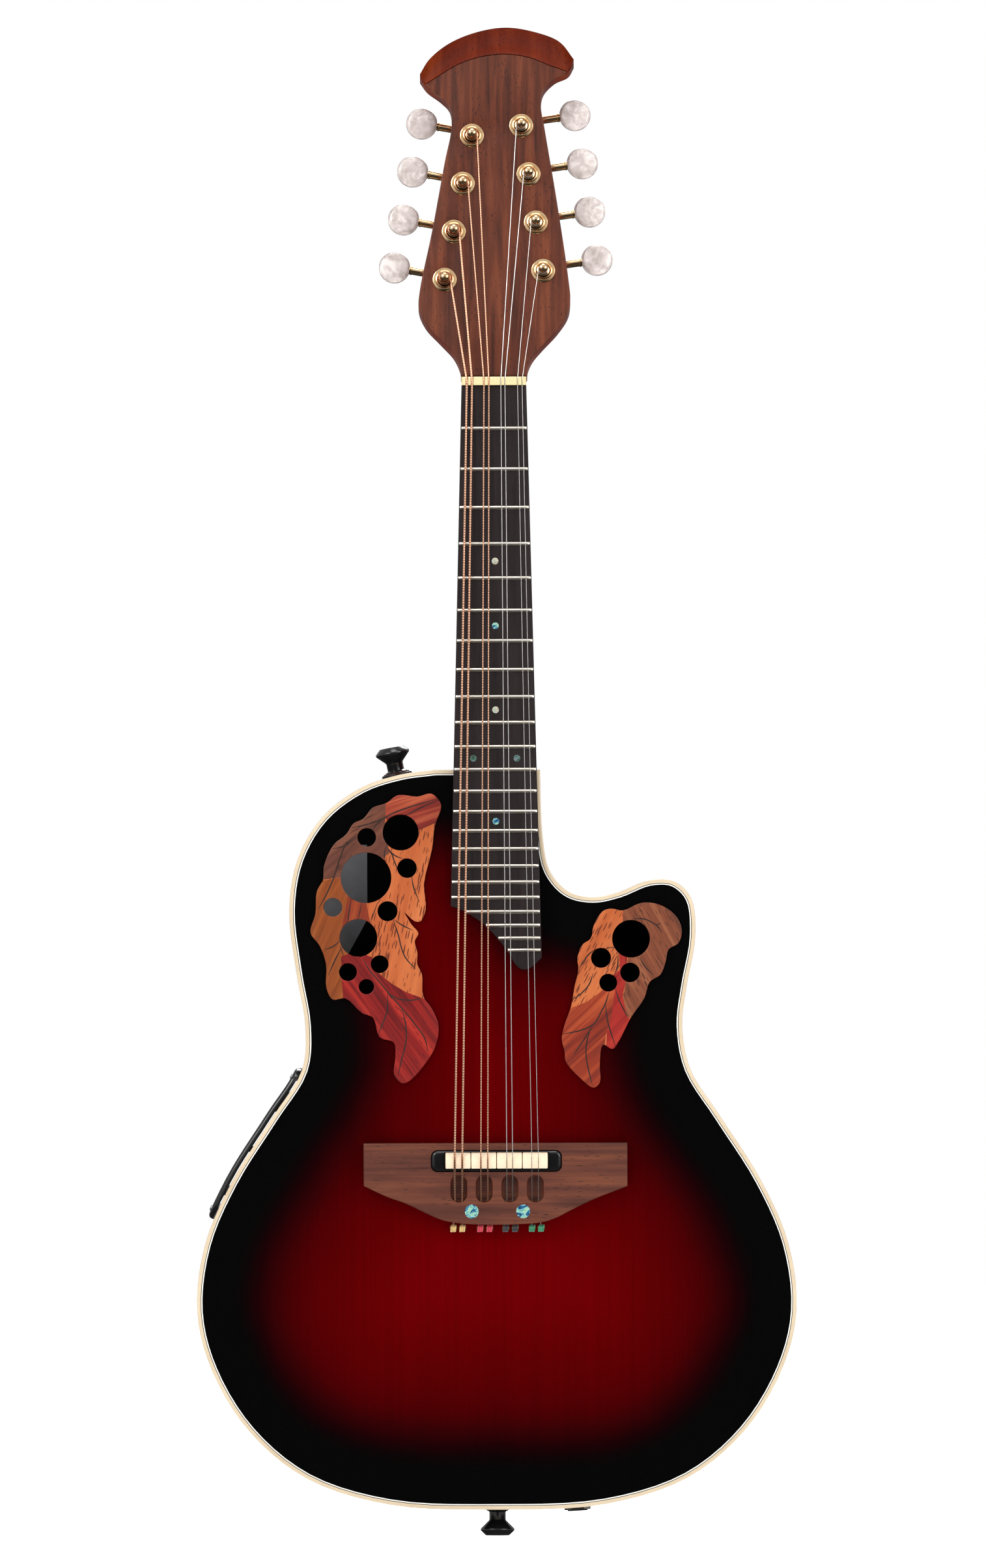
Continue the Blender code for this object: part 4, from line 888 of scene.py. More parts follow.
def bowl_composite():
    """Glass-filled composite, pressed in a textured mould: black with a pebbled skin of uneven gloss."""
    material, tree = new_material("moulded_composite_textured")
    pebbles = add(tree, NOISE, None, {"Vector": spaced(tree, (1.1, 1.1, 1.1)), "Scale": 1.0})
    patches = add(tree, NOISE, None, {"Vector": spaced(tree, (1.6, 1.6, 1.6)), "Scale": 1.0, "Detail": 3.0})
    gloss = add(tree, RAMP, None, {0: patches}, ((0.3, 0.28), (0.7, 0.42)))
    relief = add(tree, BUMP, None, {"Height": pebbles, "Distance": 0.05 * MM, "Strength": 0.6})
    surface(tree, {
        "Base Color": linear("#0d0d0e"), "Roughness": gloss, "Specular IOR Level": 0.35, "Normal": relief,
    })
    return material


def bone(name, tones):
    """Cattle bone, sawn and polished: warm cream with fine darker canals along its length."""
    material, tree = new_material(name)
    lengthwise = spaced(tree, (2.2, 0.35, 0.35))
    canals = add(tree, NOISE, None, {"Vector": lengthwise, "Scale": 1.0, "Detail": 3.0})
    colour = add(tree, RAMP, None, {0: canals}, ((0.25, tones[0]), (0.6, tones[1])))
    relief = add(tree, BUMP, None, {"Height": canals, "Distance": 0.02 * MM, "Strength": 0.4})
    surface(tree, {
        "Base Color": colour, "Roughness": 0.3, "Coat Weight": 0.2, "Coat Roughness": 0.1,
        "Subsurface Weight": 0.05, "Normal": relief,
    })
    return material


def pearloid():
    """Celluloid with fish-scale pearl, stirred as it set: pale pink grey with folded and feathered wisps."""
    material, tree = new_material("pearl_celluloid_polished")
    place, wide = spaced(tree, (1.0, 1.0, 1.0)), spaced(tree, (5.0, 5.0, 5.0))
    bend = add(tree, NOISE, None, {"Vector": wide, "Scale": 1.0}).outputs["Color"]
    folds = add(tree, VECTOR, {"operation": "MULTIPLY_ADD"}, {0: bend, 1: (1.6, 1.6, 1.6), 2: wide})
    flakes = add(tree, VORONOI, None, {"Vector": folds, "Scale": 1.0}).outputs["Color"]
    ways = add(tree, VECTOR, {"operation": "SUBTRACT"}, {0: flakes, 1: (0.5, 0.5, 0.5)})
    bent = add(tree, VECTOR, {"operation": "MULTIPLY_ADD"}, {0: bend, 1: (7.0, 7.0, 7.0), 2: place})
    along = add(tree, VECTOR, {"operation": "DOT_PRODUCT"}, {0: bent, 1: ways}).outputs["Value"]
    phase = add(tree, MATH, {"operation": "MULTIPLY"}, {0: along, 1: 4.5})
    feather = add(tree, MATH, {"operation": "SINE"}, {0: phase})
    cloud = add(tree, NOISE, None, {"Vector": wide, "Scale": 1.0, "Detail": 1.5, "Distortion": 0.8})
    swirl = add(tree, MATH, {"operation": "MULTIPLY_ADD"}, {0: feather, 1: 0.06, 2: cloud})
    stops = ((0.3, "#b0a49f"), (0.45, "#c3b7b3"), (0.56, "#cdc2be"), (0.7, "#e2d8d4"))
    colour = add(tree, RAMP, None, {0: swirl}, stops)
    relief = add(tree, BUMP, None, {"Height": swirl, "Distance": 0.05 * MM, "Strength": 0.3})
    surface(tree, {
        "Base Color": colour, "Roughness": 0.16, "Coat Weight": 0.6, "Coat Roughness": 0.04,
        "Normal": relief,
    })
    return material


def abalone(name, stops):
    """Abalone shell, cut thin and polished flush: layers that break light into blue, green and rose."""
    material, tree = new_material(name)
    place = spaced(tree, (6.5, 6.5, 3.0), (0, 32, 0))
    layers = add(tree, NOISE, None, {"Vector": place, "Scale": 1.0, "Distortion": 2.2})
    colour = add(tree, RAMP, None, {0: layers}, stops)
    relief = add(tree, BUMP, None, {"Height": layers, "Distance": 0.03 * MM, "Strength": 0.3})
    surface(tree, {
        "Base Color": colour, "Metallic": 0.25, "Roughness": 0.14, "Coat Weight": 0.8,
        "Coat Roughness": 0.03, "Normal": relief,
    })
    return material


# Materials: metals and thread


def metal(name, colour, worn, roughness, anisotropy=0.0):
    """An even metal, duller in patches where it was handled, with hairline scratches."""
    material, tree = new_material(name)
    patches = add(tree, NOISE, None, {"Vector": spaced(tree, (6.0, 6.0, 6.0)), "Scale": 1.0, "Detail": 3.0})
    tone = add(tree, RAMP, None, {0: patches}, ((0.35, worn), (0.65, colour)))
    shine = add(tree, RAMP, None, {0: patches}, ((0.3, roughness + 0.09), (0.7, roughness)))
    scratched = spaced(tree, (0.25, 0.25, 5.0), (20, 35, 0))
    hairlines = add(tree, NOISE, None, {"Vector": scratched, "Scale": 1.0})
    relief = add(tree, BUMP, None, {"Height": hairlines, "Distance": 0.003 * MM, "Strength": 0.5})
    surface(tree, {
        "Base Color": tone, "Metallic": 1.0, "Roughness": shine, "Anisotropic": anisotropy,
        "Normal": relief,
    })
    return material


WINDING_PITCH = 0.6


def wound_wire():
    """Phosphor bronze wire, wound tight on a steel core: a warm thread of ridges.

    The real winding is finer than a view can show, so it is drawn at WINDING_PITCH.
    """
    material, tree = new_material("phosphor_bronze_winding")
    place = spaced(tree, (1000.0, 1000.0, WINDING_PITCH * 2 * math.pi))
    ridges = add(tree, WAVE, {"bands_direction": "Z"}, {"Vector": place, "Scale": 1.0}).outputs["Fac"]
    # The colour is darker in the grooves between turns and lighter on the crests: painted shade and painted
    # highlight on the winding.
    colour = add(tree, RAMP, None, {0: ridges}, ((0.1, "#e3a582"), (0.6, "#ffd0b0")))
    relief = add(tree, BUMP, None, {"Height": ridges, "Distance": 0.08 * MM, "Strength": 0.5})
    surface(tree, {"Base Color": colour, "Metallic": 1.0, "Roughness": 0.42, "Normal": relief})
    return material


def silk(name, dark, light):
    """Dyed silk thread, wound over a string's ball end: twisted strands with a soft shine."""
    material, tree = new_material(name)
    place = spaced(tree, (0.5, 0.25, 0.25), (0, 0, 30))
    strands = add(tree, NOISE, None, {"Vector": place, "Scale": 1.0})
    colour = add(tree, RAMP, None, {0: strands}, ((0.35, dark), (0.6, light)))
    relief = add(tree, BUMP, None, {"Height": strands, "Distance": 0.05 * MM, "Strength": 0.6})
    surface(tree, {
        "Base Color": colour, "Roughness": 0.42, "Sheen Weight": 0.3, "Coat Weight": 0.2, "Normal": relief,
    })
    return material


def make_materials():
    made = {
        "burst": burst_lacquer(),
        "composite": bowl_composite(),
        "pearl": pearloid(),
        "bronze": wound_wire(),
        # Celluloid strip, scraped flush and polished: pale cream, a little cloudy
        "binding": plastic("celluloid_binding_polished", ("#c4b093", "#d1c0a4"), 0.3, 0.5, 0.004, 0.3, 30.0),
        # Vulcanised fibre lines, scraped flush: matt, even, and without figure
        "white_line": plastic("white_fibre_line", ("#d8d5cd", "#e8e6df"), 0.4),
        "black_line": plastic("black_fibre_line", ("#0c0b0b", "#141313"), 0.4),
        # ABS out of a polished mould: near black with a wet gloss
        "black": plastic("abs_moulded_gloss", ("#0b0b0c", "#131314"), 0.2, 0.5, 0.004, 0.4),
        # ABS out of a sand-blasted mould: dark grey with no clear highlight
        "matt_black": plastic("abs_moulded_matt", ("#141415", "#1c1c1e"), 0.5, 0.35, 0.02),
        # Silicone rubber, moulded: soft charcoal, duller than the panel round it
        "rubber": plastic("silicone_rubber_cap", ("#1d1d1f", "#262628"), 0.6, 0.3, 0.02),
        # Screen-printed ink: flat off-white
        "mark": plastic("printed_white_mark", ("#c9c9c4", "#deded9"), 0.5),
        # A dull dark red washer with a rough nap, under the strap buttons
        "red_washer_ring": plastic("dark_red_strap_washer", ("#3a1512", "#4d1d18"), 0.9, 0.35, 0.12),
        # Uncoated paper, glued inside the bowl: grey white with a faint felt mark
        "paper": plastic("uncoated_label_paper", ("#d4d4d8", "#e4e4e8"), 0.8, 0.5, 0.03, blotch=9.0),
        # Bone, yellower at the nut than in the saddles
        "nut_bone": bone("bone_nut_polished", ("#cfbd8a", "#dac99a")),
        "saddle_bone": bone("bone_saddle_polished", ("#e4c8a8", "#eed7ba")),
        # Abalone: vivid pieces in the bridge, paler and darker pieces in the fingerboard
        "abalone": abalone("abalone_blue_green", (
            (0.32, "#244a6e"), (0.42, "#3d7fa8"), (0.48, "#78bcc0"), (0.54, "#b4d8b4"), (0.6, "#7fc6b0"),
            (0.7, "#3f6ea8"),
        )),
        "dot_pearl": abalone("abalone_pale_gold", ((0.35, "#8b8f7c"), (0.5, "#d9cdb4"), (0.62, "#a9c4bb"))),
        "dot_dark": abalone("abalone_dark_green", ((0.35, "#2c3a36"), (0.5, "#4b6f62"), (0.64, "#7d8a94"))),
        # Gold plate over polished brass: pale champagne with sharp highlights
        "gold": metal("gold_plate_polished", "#fbd7a8", "#f0c592", 0.12),
        # Brass, hobbed: yellower and duller than the plate
        "brass": metal("brass_cut_teeth", "#d8b56a", "#b98f4c", 0.28),
        # Nickel plate, polished: a warm grey mirror
        "nickel": metal("nickel_plate_polished", "#d3cbc3", "#b9aea5", 0.16),
        # Steel, zinc plated: cool grey with a soft shine
        "steel": metal("steel_zinc_plated", "#b9bbbd", "#9a9c9e", 0.3),
        # Nickel silver fret wire, crowned and polished along its length: bright and a little creamy
        "fret": metal("nickel_silver_fret_polished", "#fbf4e8", "#ece3d4", 0.3),
        # Drawn music wire: bright grey, its shine stretched round the wire
        "plain_wire": metal("music_wire_drawn", "#f4f1ee", "#e0ddd9", 0.38, 0.4),
        # Bronze-wound wire, bent tight round a post: reads as smooth warm coils
        "coil_bronze": metal("phosphor_bronze_coil", "#e3a98a", "#c78762", 0.25),
        "silk_gold": silk("silk_wrap_gold", "#8d6b35", "#d9b673"),
        "silk_red": silk("silk_wrap_red", "#8c0d22", "#d42c48"),
        "silk_black": silk("silk_wrap_black", "#131316", "#34343a"),
        "silk_green": silk("silk_wrap_green", "#0f4a33", "#2f8f63"),
        # Walnut, sliced and satin lacquered: brown with long dark streaks and short open pores
        "walnut": wood("walnut_sliced_satin", ("#3a1a10", "#5d2c1b", "#763c23"), 0.5, rings=4.2,
                       streak=0.75, pores=0.25, pore_tone="#2c1610", roughness=0.4, coat=0.15),
        # Walnut, carved and oiled: dark wavy bands lie along the bridge
        "bridge_walnut": wood("walnut_carved_oiled", ("#3f2018", "#5e3124", "#7a432a"), 0.5, lean=90,
                              rings=4.4, streak=0.6, pores=0.22, pore_tone="#321a14", roughness=0.5),
        # Mahogany, carved and satin lacquered: even reddish brown that shows chiefly its fine pores
        "mahogany": wood("mahogany_carved_satin", ("#4a1001", "#661c03", "#833007"), 0.5, rings=9.0,
                         streak=0.5, pores=0.24, pore_tone="#2f1008", roughness=0.38, coat=0.15),
        # Rosewood, planed and oiled: near black brown with fine straight fibres
        "rosewood": wood("rosewood_planed_oiled", ("#1c1415", "#241b1c", "#2d2222"), 0.35, rings=2.6,
                         streak=0.6, pores=0.2, pore_tone="#181110", roughness=0.55),
        # Spruce, split and planed: pale straw with straight winter rings
        "spruce": wood("spruce_planed", ("#b08a58", "#c9a875", "#d9bd8e"), 0.4, rings=1.6,
                       streak=0.8, roughness=0.65),
        # Pearwood stringing, dyed grey brown before it was inlaid: matt, with faint fibres
        "line": wood("dyed_pearwood_line", ("#231815", "#30221e", "#3a2a25"), 0.3, rings=2.0, roughness=0.5),
    }
    made.update({name: leaf_wood(name) for name in LEAF_WOODS})
    return made


M = make_materials()


# Geometry node trees


def new_tree(name, inputs):
    """A geometry tree with named inputs and one output, and its group input node."""
    tree = bpy.data.node_groups.new(name, "GeometryNodeTree")
    tree.interface.new_socket("Geometry", in_out="INPUT", socket_type="NodeSocketGeometry")
    for label, kind in inputs.items():
        tree.interface.new_socket(label, in_out="INPUT", socket_type=kind)
    tree.interface.new_socket("Geometry", in_out="OUTPUT", socket_type="NodeSocketGeometry")
    return tree, add(tree, "NodeGroupInput").outputs


def close_tree(tree, shape, material):
    real = add(tree, "GeometryNodeRealizeInstances", None, {0: shape})
    done = add(tree, "GeometryNodeSetMaterial", None, {"Geometry": real, "Material": material})
    add(tree, "NodeGroupOutput", None, {"Geometry": done})
    return tree


def copies_tree():
    """Copies of a pattern on points, each facing the point's facing vector and sized by its size vector."""
    kinds = {"Pattern": "NodeSocketObject", "Material": "NodeSocketMaterial"}
    tree, given = new_tree("copies_on_points", kinds)
    settings = {"transform_space": "ORIGINAL"}
    pattern = add(tree, "GeometryNodeObjectInfo", settings, {"Object": given["Pattern"]})
    vector = {"data_type": "FLOAT_VECTOR"}
    aim = add(tree, "GeometryNodeInputNamedAttribute", vector, {"Name": "facing"}).outputs["Attribute"]
    size = add(tree, "GeometryNodeInputNamedAttribute", vector, {"Name": "size"}).outputs["Attribute"]
    aligned = add(tree, "FunctionNodeAlignRotationToVector", {"axis": "Z"}, {"Vector": aim}).outputs[0]
    placed = add(tree, "GeometryNodeInstanceOnPoints", None, {
        "Points": given["Geometry"], "Instance": pattern.outputs["Geometry"], "Rotation": aligned,
        "Scale": size,
    })
    return close_tree(tree, placed, given["Material"])


def coil_tree():
    """Round wire wound into a helix up from the origin."""
    sizes = {name: "NodeSocketFloat" for name in ("Turns", "Radius", "Rise", "Wire Radius")}
    tree, given = new_tree("wire_coil", {**sizes, "Material": "NodeSocketMaterial"})
    helix = add(tree, "GeometryNodeCurveSpiral", None, {
        "Resolution": 28, "Rotations": given["Turns"], "Start Radius": given["Radius"],
        "End Radius": given["Radius"], "Height": given["Rise"],
    })
    wire = add(tree, "GeometryNodeCurvePrimitiveCircle", None, {
        "Resolution": 10, "Radius": given["Wire Radius"],
    })
    solid = add(tree, "GeometryNodeCurveToMesh", None, {
        "Curve": helix, "Profile Curve": wire, "Fill Caps": True,
    })
    return close_tree(tree, solid, given["Material"])


def line_tree():
    """A square line let in along a closed path."""
    tree, given = new_tree("inlaid_line", {"Width": "NodeSocketFloat", "Material": "NodeSocketMaterial"})
    path = add(tree, "GeometryNodeMeshToCurve", None, {"Mesh": given["Geometry"]})
    level = add(tree, "GeometryNodeSetCurveNormal", {"mode": "Z_UP"}, {"Curve": path})
    section = add(tree, "GeometryNodeCurvePrimitiveQuadrilateral", None, {
        "Width": given["Width"], "Height": given["Width"],
    })
    solid = add(tree, "GeometryNodeCurveToMesh", None, {"Curve": level, "Profile Curve": section})
    return close_tree(tree, solid, given["Material"])


COPIES, COIL, LINE = copies_tree(), coil_tree(), line_tree()


def grown(tree, base, values):
    """The plain mesh that a tree makes of a base mesh, with its named inputs set."""
    holder = bpy.data.objects.new("grown", base)
    bpy.context.collection.objects.link(holder)
    modifier = holder.modifiers.new("grown", "NODES")
    modifier.node_group = tree
    for item in tree.interface.items_tree:
        if item.in_out == "INPUT" and item.name in values:
            modifier[item.identifier] = values[item.name]
    mesh = evaluated_mesh(holder)
    holder.modifiers.remove(modifier)
    bpy.data.objects.remove(holder)
    return mesh


def copies(pattern, spots, material):
    """Copies of a shape: spots are (point, facing, size) in millimetres."""
    points = bpy.data.meshes.new("spots")
    points.from_pydata([Vector(spot) for spot, _, _ in spots], [], [])
    for name, column in (("facing", 1), ("size", 2)):
        attribute = points.attributes.new(name, "FLOAT_VECTOR", "POINT")
        for row, spot in zip(attribute.data, spots):
            row.vector = spot[column]
    mesh = bpy.data.meshes.new("pattern")
    pattern.to_mesh(mesh)
    pattern.free()
    holder = bpy.data.objects.new("pattern", mesh)
    made = grown(COPIES, points, {"Pattern": holder, "Material": material})
    bpy.data.objects.remove(holder)
    return made


def coil(turns, radius, rise, wire, material, place):
    """A coil of wire up from a placement's origin."""
    values = {"Turns": turns, "Radius": radius, "Rise": rise, "Wire Radius": wire, "Material": material}
    mesh = grown(COIL, bpy.data.meshes.new("empty"), values)
    mesh.transform(place)
    bm = bmesh.new()
    bm.from_mesh(mesh)
    bpy.data.meshes.remove(mesh)
    bmesh.ops.recalc_face_normals(bm, faces=bm.faces)
    return bm


FORWARD = Vector((0, 0, 1))
FULL_SIZE = Vector((1, 1, 1))


# Body shell


def body_outline(steps=5):
    """The body's edge, from the neck down the bass side, round the bottom and up the cutaway."""
    bass_bout = [(-across, up) for across, up in LOWER_BOUT]
    treble_bout = list(reversed(LOWER_BOUT))
    return smooth((*SHOULDER, *bass_bout, (0, 12.2), *treble_bout, *CUTAWAY), steps)


EDGE = body_outline()


def depth_taper(up):
    """The bowl is deepest behind the lower bout and shallowest at the neck."""
    return 1.05 - 0.24 * up / BODY_JOINT


def bowl_ring(outline, angle, wall):
    """One ring of the bowl, from its rim at an angle of 0 to its back at 90 degrees."""
    scale = math.cos(angle) ** (2 / BOWL_FULLNESS)
    sink = math.sin(angle) ** (2 / BOWL_FULLNESS)
    ring = []
    for point in inset(outline, wall):
        spot = BOWL_CENTRE + (point - BOWL_CENTRE) * scale
        ring.append(Vector((spot.x, spot.y, BOWL_RIM - sink * (BOWL_DEPTH - wall) * depth_taper(spot.y))))
    return ring


def bowl_skin(outline, wall, turns):
    return [bowl_ring(outline, math.radians(angle), wall) for angle in turns]


BOWL_TURNS = (0, 1.2, 2.6, 4, 7, 11, 15, 20, 25, 31, 37, 43, 49, 55, 61, 67, 73, 79, 84, 88)


def wall_point(up, depth, proud):
    """A point of the bowl's bass wall, by its height up the rim and its depth behind the rim."""
    run = [point for point in EDGE if point.x < 0]
    index = next(i for i, point in enumerate(run) if point.y < up)
    high, low = run[index - 1], run[index]
    rim = low.lerp(high, (up - low.y) / (high.y - low.y))

    def surface(base, sink):
        scale = 1.0
        for _ in range(4):
            spot = BOWL_CENTRE + (base - BOWL_CENTRE) * scale
            full = BOWL_DEPTH * depth_taper(spot.y)
            scale = (1 - (sink / full) ** BOWL_FULLNESS) ** (1 / BOWL_FULLNESS)
        return Vector((spot.x, spot.y, BOWL_RIM - sink))

    along = surface(high, depth) - surface(low, depth)
    inward = surface(rim, depth + 0.5) - surface(rim, depth - 0.5)
    normal = along.cross(inward).normalized()
    return surface(rim, depth) + (normal if normal.x < 0 else -normal) * proud


def boss(place, radius):
    """A flat round seat moulded through the bowl's wall, with a soft edge."""
    profile = ((radius, -6.0), (radius, -0.5), (radius - 0.15, -0.15), (radius - 0.5, 0.0))
    return moved(turned(profile, 40), inside_body(place))


def drilled(place, radius):
    return moved(turned(((radius, -14.0), (radius, 4.0))), inside_body(place))


def make_bowl():
    outer = bowl_skin(EDGE, 0.0, BOWL_TURNS)
    inner = bowl_skin(EDGE, BOWL_WALL, BOWL_TURNS[3:])
    ledge, under = inset(EDGE, LEDGE_WIDTH), inset(EDGE, BOWL_WALL)
    foot = BOWL_RIM - LEDGE_THICKNESS
    rings = [*reversed(outer), raised(ledge, BOWL_RIM), raised(ledge, foot), raised(under, foot)]
    rings += [ring for ring in inner if ring[0].z < foot]
    seats = joined(boss(END_BUTTON, 7.0), boss(SHOULDER_BUTTON, 7.0), boss(JACK, 9.0))
    bowl = combined(loft(rings), seats, "UNION")
    window = block((MODULE_SIZE[0] + 0.8, MODULE_SIZE[1] + 0.8, 20.0), (0, 0, 0))
    holes = [drilled(END_BUTTON, 2.4), drilled(SHOULDER_BUTTON, 2.4), drilled(JACK, 5.2)]
    bowl = cut(bowl, moved(window, inside_body(PANEL)), *holes)
    add_piece("moulded_bowl", bowl, [M["composite"]], stands_for=["bowl"])


def make_binding():
    """Cream binding with a rounded outer edge, and the white and black lines inside it."""
    low, radius = -TOP_THICKNESS, 0.7
    rings = [raised(inset(EDGE, BINDING_WIDTH), low), raised(EDGE, low)]
    for step in range(5):
        angle = math.radians(90) * step / 4
        ring = inset(EDGE, radius * (1 - math.cos(angle)))
        rings.append(raised(ring, -radius + radius * math.sin(angle)))
    rings.append(raised(inset(EDGE, BINDING_WIDTH), 0.0))
    add_piece("cream_binding", loft(rings, loop=True), [M["binding"]], stands_for=["binding"])
    start = BINDING_WIDTH
    for name, width in (("black_line", BLACK_LINE), ("white_line", WHITE_LINE)):
        path = raised(inset(EDGE, start + width / 2), -width / 2)
        base = bpy.data.meshes.new(name)
        base.from_pydata(path, [(i, (i + 1) % len(path)) for i in range(len(path))], [])
        line = grown(LINE, base, {"Width": width, "Material": M[name]})
        add_piece("purfling_" + name, line, [M[name]])
        start += width


def edge_distances(mesh, outline):
    """Stores each point's distance from the outline, in millimetres, for the lacquer's burst."""
    attribute = mesh.attributes.new("edge_distance", "FLOAT", "POINT")
    ends = list(zip(outline, outline[1:] + outline[:1]))
    for row, vertex in zip(attribute.data, mesh.vertices):
        spot = vertex.co.xy
        nearest = 1e9
        for a, b in ends:
            run = b - a
            share = min(1.0, max(0.0, (spot - a).dot(run) / run.length_squared))
            nearest = min(nearest, (a + run * share - spot).length_squared)
        row.value = math.sqrt(nearest)


def sound_holes(spots, growth):
    return [circle(radius + growth, 48 if radius > 6 else 32, (x, y)) for x, y, radius in spots]


def make_soundboard():
    edge = inset(EDGE, BINDING_WIDTH + BLACK_LINE + WHITE_LINE)
    holes = sound_holes(BASS_HOLES + TREBLE_HOLES, 0.3)
    top = slab(edge, -TOP_THICKNESS, 0.0, holes, pitch=7.0)
    mesh = bpy.data.meshes.new("soundboard")
    top.to_mesh(mesh)
    top.free()
    edge_distances(mesh, EDGE)
    add_piece("burst_soundboard", mesh, [M["burst"]], stands_for=["soundboard"])


def vein(points, width):
    """A ribbon along a smooth line, narrowing to a third at its ends."""
    line = smooth(points, 4)
    left, right = [], []
    for i, point in enumerate(line):
        run = (line[min(i + 1, len(line) - 1)] - line[max(i - 1, 0)]).normalized()
        taper = min(1.0, 0.34 + 0.66 * min(i, len(line) - 1 - i) / 3)
        side = Vector((-run.y, run.x)) * width / 2 * taper
        left.append(point + side)
        right.append(point - side)
    return left + right[::-1]


def make_leaf(name, node, points, holes, ground, patches, veins):
    """A marquetry leaf: veneers of several woods and dyed lines, glued up as one panel."""
    edge = closed_smooth(points, 4)
    woods = [[Vector(point) for point in patch] for _, patch in patches]
    lines = [vein(line, VEIN_WIDTH) for line in veins]
    shape = slab(edge, 0.3, LEAF_TOP, sound_holes(holes, 0.0), [*woods, *lines], over=0.35)
    for face in shape.faces:
        face.material_index = min(face.material_index, len(woods) + 1)
    materials = [M[ground], *[M[wood_name] for wood_name, _ in patches], M["line"]]
    add_piece(name, shape, materials, stands_for=[node])


def inner_wall(across, up):
    """The height of the bowl's inner wall behind a point of the top."""
    ray = Vector((across, up)) - BOWL_CENTRE
    edge = inset(EDGE, BOWL_WALL)
    reach = 1.0
    for a, b in zip(edge, edge[1:] + edge[:1]):
        crossing = geometry.intersect_line_line_2d(BOWL_CENTRE, BOWL_CENTRE + ray * 40, a, b)
        if crossing:
            reach = ray.length / (crossing - BOWL_CENTRE).length
    sink = (1 - min(0.99, reach) ** BOWL_FULLNESS) ** (1 / BOWL_FULLNESS)
    return BOWL_RIM - sink * (BOWL_DEPTH - BOWL_WALL) * depth_taper(up)


LABEL_ACROSS = (-79.5, -59.5)
LABEL_UP = (262.0, 320.0)
LABEL_CORNER = 285.4


def make_label():
    """A plain paper label with one corner cut off, bent to the inside of the bowl under the bass leaf."""
    left, right = LABEL_ACROSS
    bm = bmesh.new()
    rows = []
    for step in range(25):
        up = LABEL_UP[0] + (LABEL_UP[1] - LABEL_UP[0]) * step / 24
        end = right - 0.55 * max(0.0, LABEL_CORNER - up)
        spots = [(left + (end - left) * share / 12, up) for share in range(13)]
        rows.append([bm.verts.new((x, y, inner_wall(x, y) + 0.7)) for x, y in spots])
    for lower, upper in zip(rows, rows[1:]):
        for i in range(len(lower) - 1):
            bm.faces.new((lower[i], lower[i + 1], upper[i + 1], upper[i]))
    bmesh.ops.solidify(bm, geom=bm.faces, thickness=0.2)
    bmesh.ops.recalc_face_normals(bm, faces=bm.faces)
    add_piece("paper_label", bm, [M["paper"]])


# Neck and headstock


def board_edge(up):
    """Half the fingerboard's width at a height up the neck."""
    slope = (WIDTH_AT_BODY - NUT_WIDTH) / 2 / (NUT_FACE - BODY_JOINT)
    return NUT_WIDTH / 2 + slope * (NUT_FACE - up)


NECK_SIDES = 32


def neck_section(up, top, depth, width, roundness=1.0):
    """A flat-topped section whose back goes from round to square as its roundness falls."""
    ring = [Vector((-width / 2, up, top)), Vector((0, up, top)), Vector((width / 2, up, top))]
    for step in range(1, NECK_SIDES):
        angle = math.pi * step / NECK_SIDES
        across = width / 2 * math.copysign(abs(math.cos(angle)) ** (0.85 * roundness), math.cos(angle))
        ring.append(Vector((across, up, top - depth * math.sin(angle) ** (0.9 * roundness))))
    return ring


# Height and share of the heel's depth
HEEL_STATIONS = ((344, 1.0), (357, 1.0), (361, 0.9), (366, 0.66), (373, 0.36), (382, 0.13), (394, 0.0))
# Height and roundness
NECK_STATIONS = ((440, 1.0), (490, 1.0), (504, 0.97), (514, 0.9), (522, 0.78), (529, 0.62))
# Distance beyond the nut, and the top, depth, width and roundness of the neck there
HEAD_STATIONS = (
    (-0.2, -0.1, 13.15, 30.3, 0.46), (3.0, -0.8, 13.4, 30.9, 0.36), (5.5, -1.3, 13.5, 31.6, 0.34),
    (8.5, -3.0, 11.4, 29.0, 0.5),
)


def neck_shaft():
    """The neck from inside the body line to inside the headstock, with the heel sweeping back."""
    rings = []
    for station in smooth(HEEL_STATIONS, 5):
        depth = NECK_DEPTH_AT_BODY + (HEEL_DEPTH - NECK_DEPTH_AT_BODY) * max(0.0, min(1.0, station.y))
        rings.append(neck_section(station.x, 0.0, depth, 2 * board_edge(station.x) - 0.6))
    for up, roundness in NECK_STATIONS:
        share = (up - BODY_JOINT) / (NUT_FACE - BODY_JOINT)
        depth = NECK_DEPTH_AT_BODY + (NECK_DEPTH_AT_NUT - NECK_DEPTH_AT_BODY) * share
        rings.append(neck_section(up, 0.0, depth, 2 * board_edge(up) - 0.6, roundness))
    end = NUT_FACE + NUT_THICKNESS
    for beyond, top, depth, width, roundness in HEAD_STATIONS:
        rings.append(neck_section(end + beyond, top, depth, width, roundness))
    return loft(rings)


def head_outline():
    return smooth(HEAD_BASS_EDGE, 6)[:-1] + smooth(CROWN, 6)[:-1] + smooth(HEAD_TREBLE_EDGE, 6)


def crown_lip():
    """The raised rim of the crown, hollowed towards the face in front of it."""
    stations = 44
    foot = resampled(smooth(SCOOP_FOOT, 8), stations)
    crest = resampled(smooth(CROWN, 8), stations)
    rings = []
    for inner, outer in zip(foot, crest):
        ring = [Vector((*inner, -3.0)), Vector((*inner, 0.1))]
        for step in range(1, 13):
            share = step / 12
            rise = CROWN_RISE * (0.02 + 0.98 * share ** 2.3)
            ring.append(Vector((*inner.lerp(outer, share * 0.985), rise)))
        ring += [Vector((*inner.lerp(outer, 0.998), CROWN_RISE - 0.15)), Vector((*outer, CROWN_RISE - 0.7))]
        ring.append(Vector((*outer, -3.0)))
        rings.append(ring)
    return loft(rings)


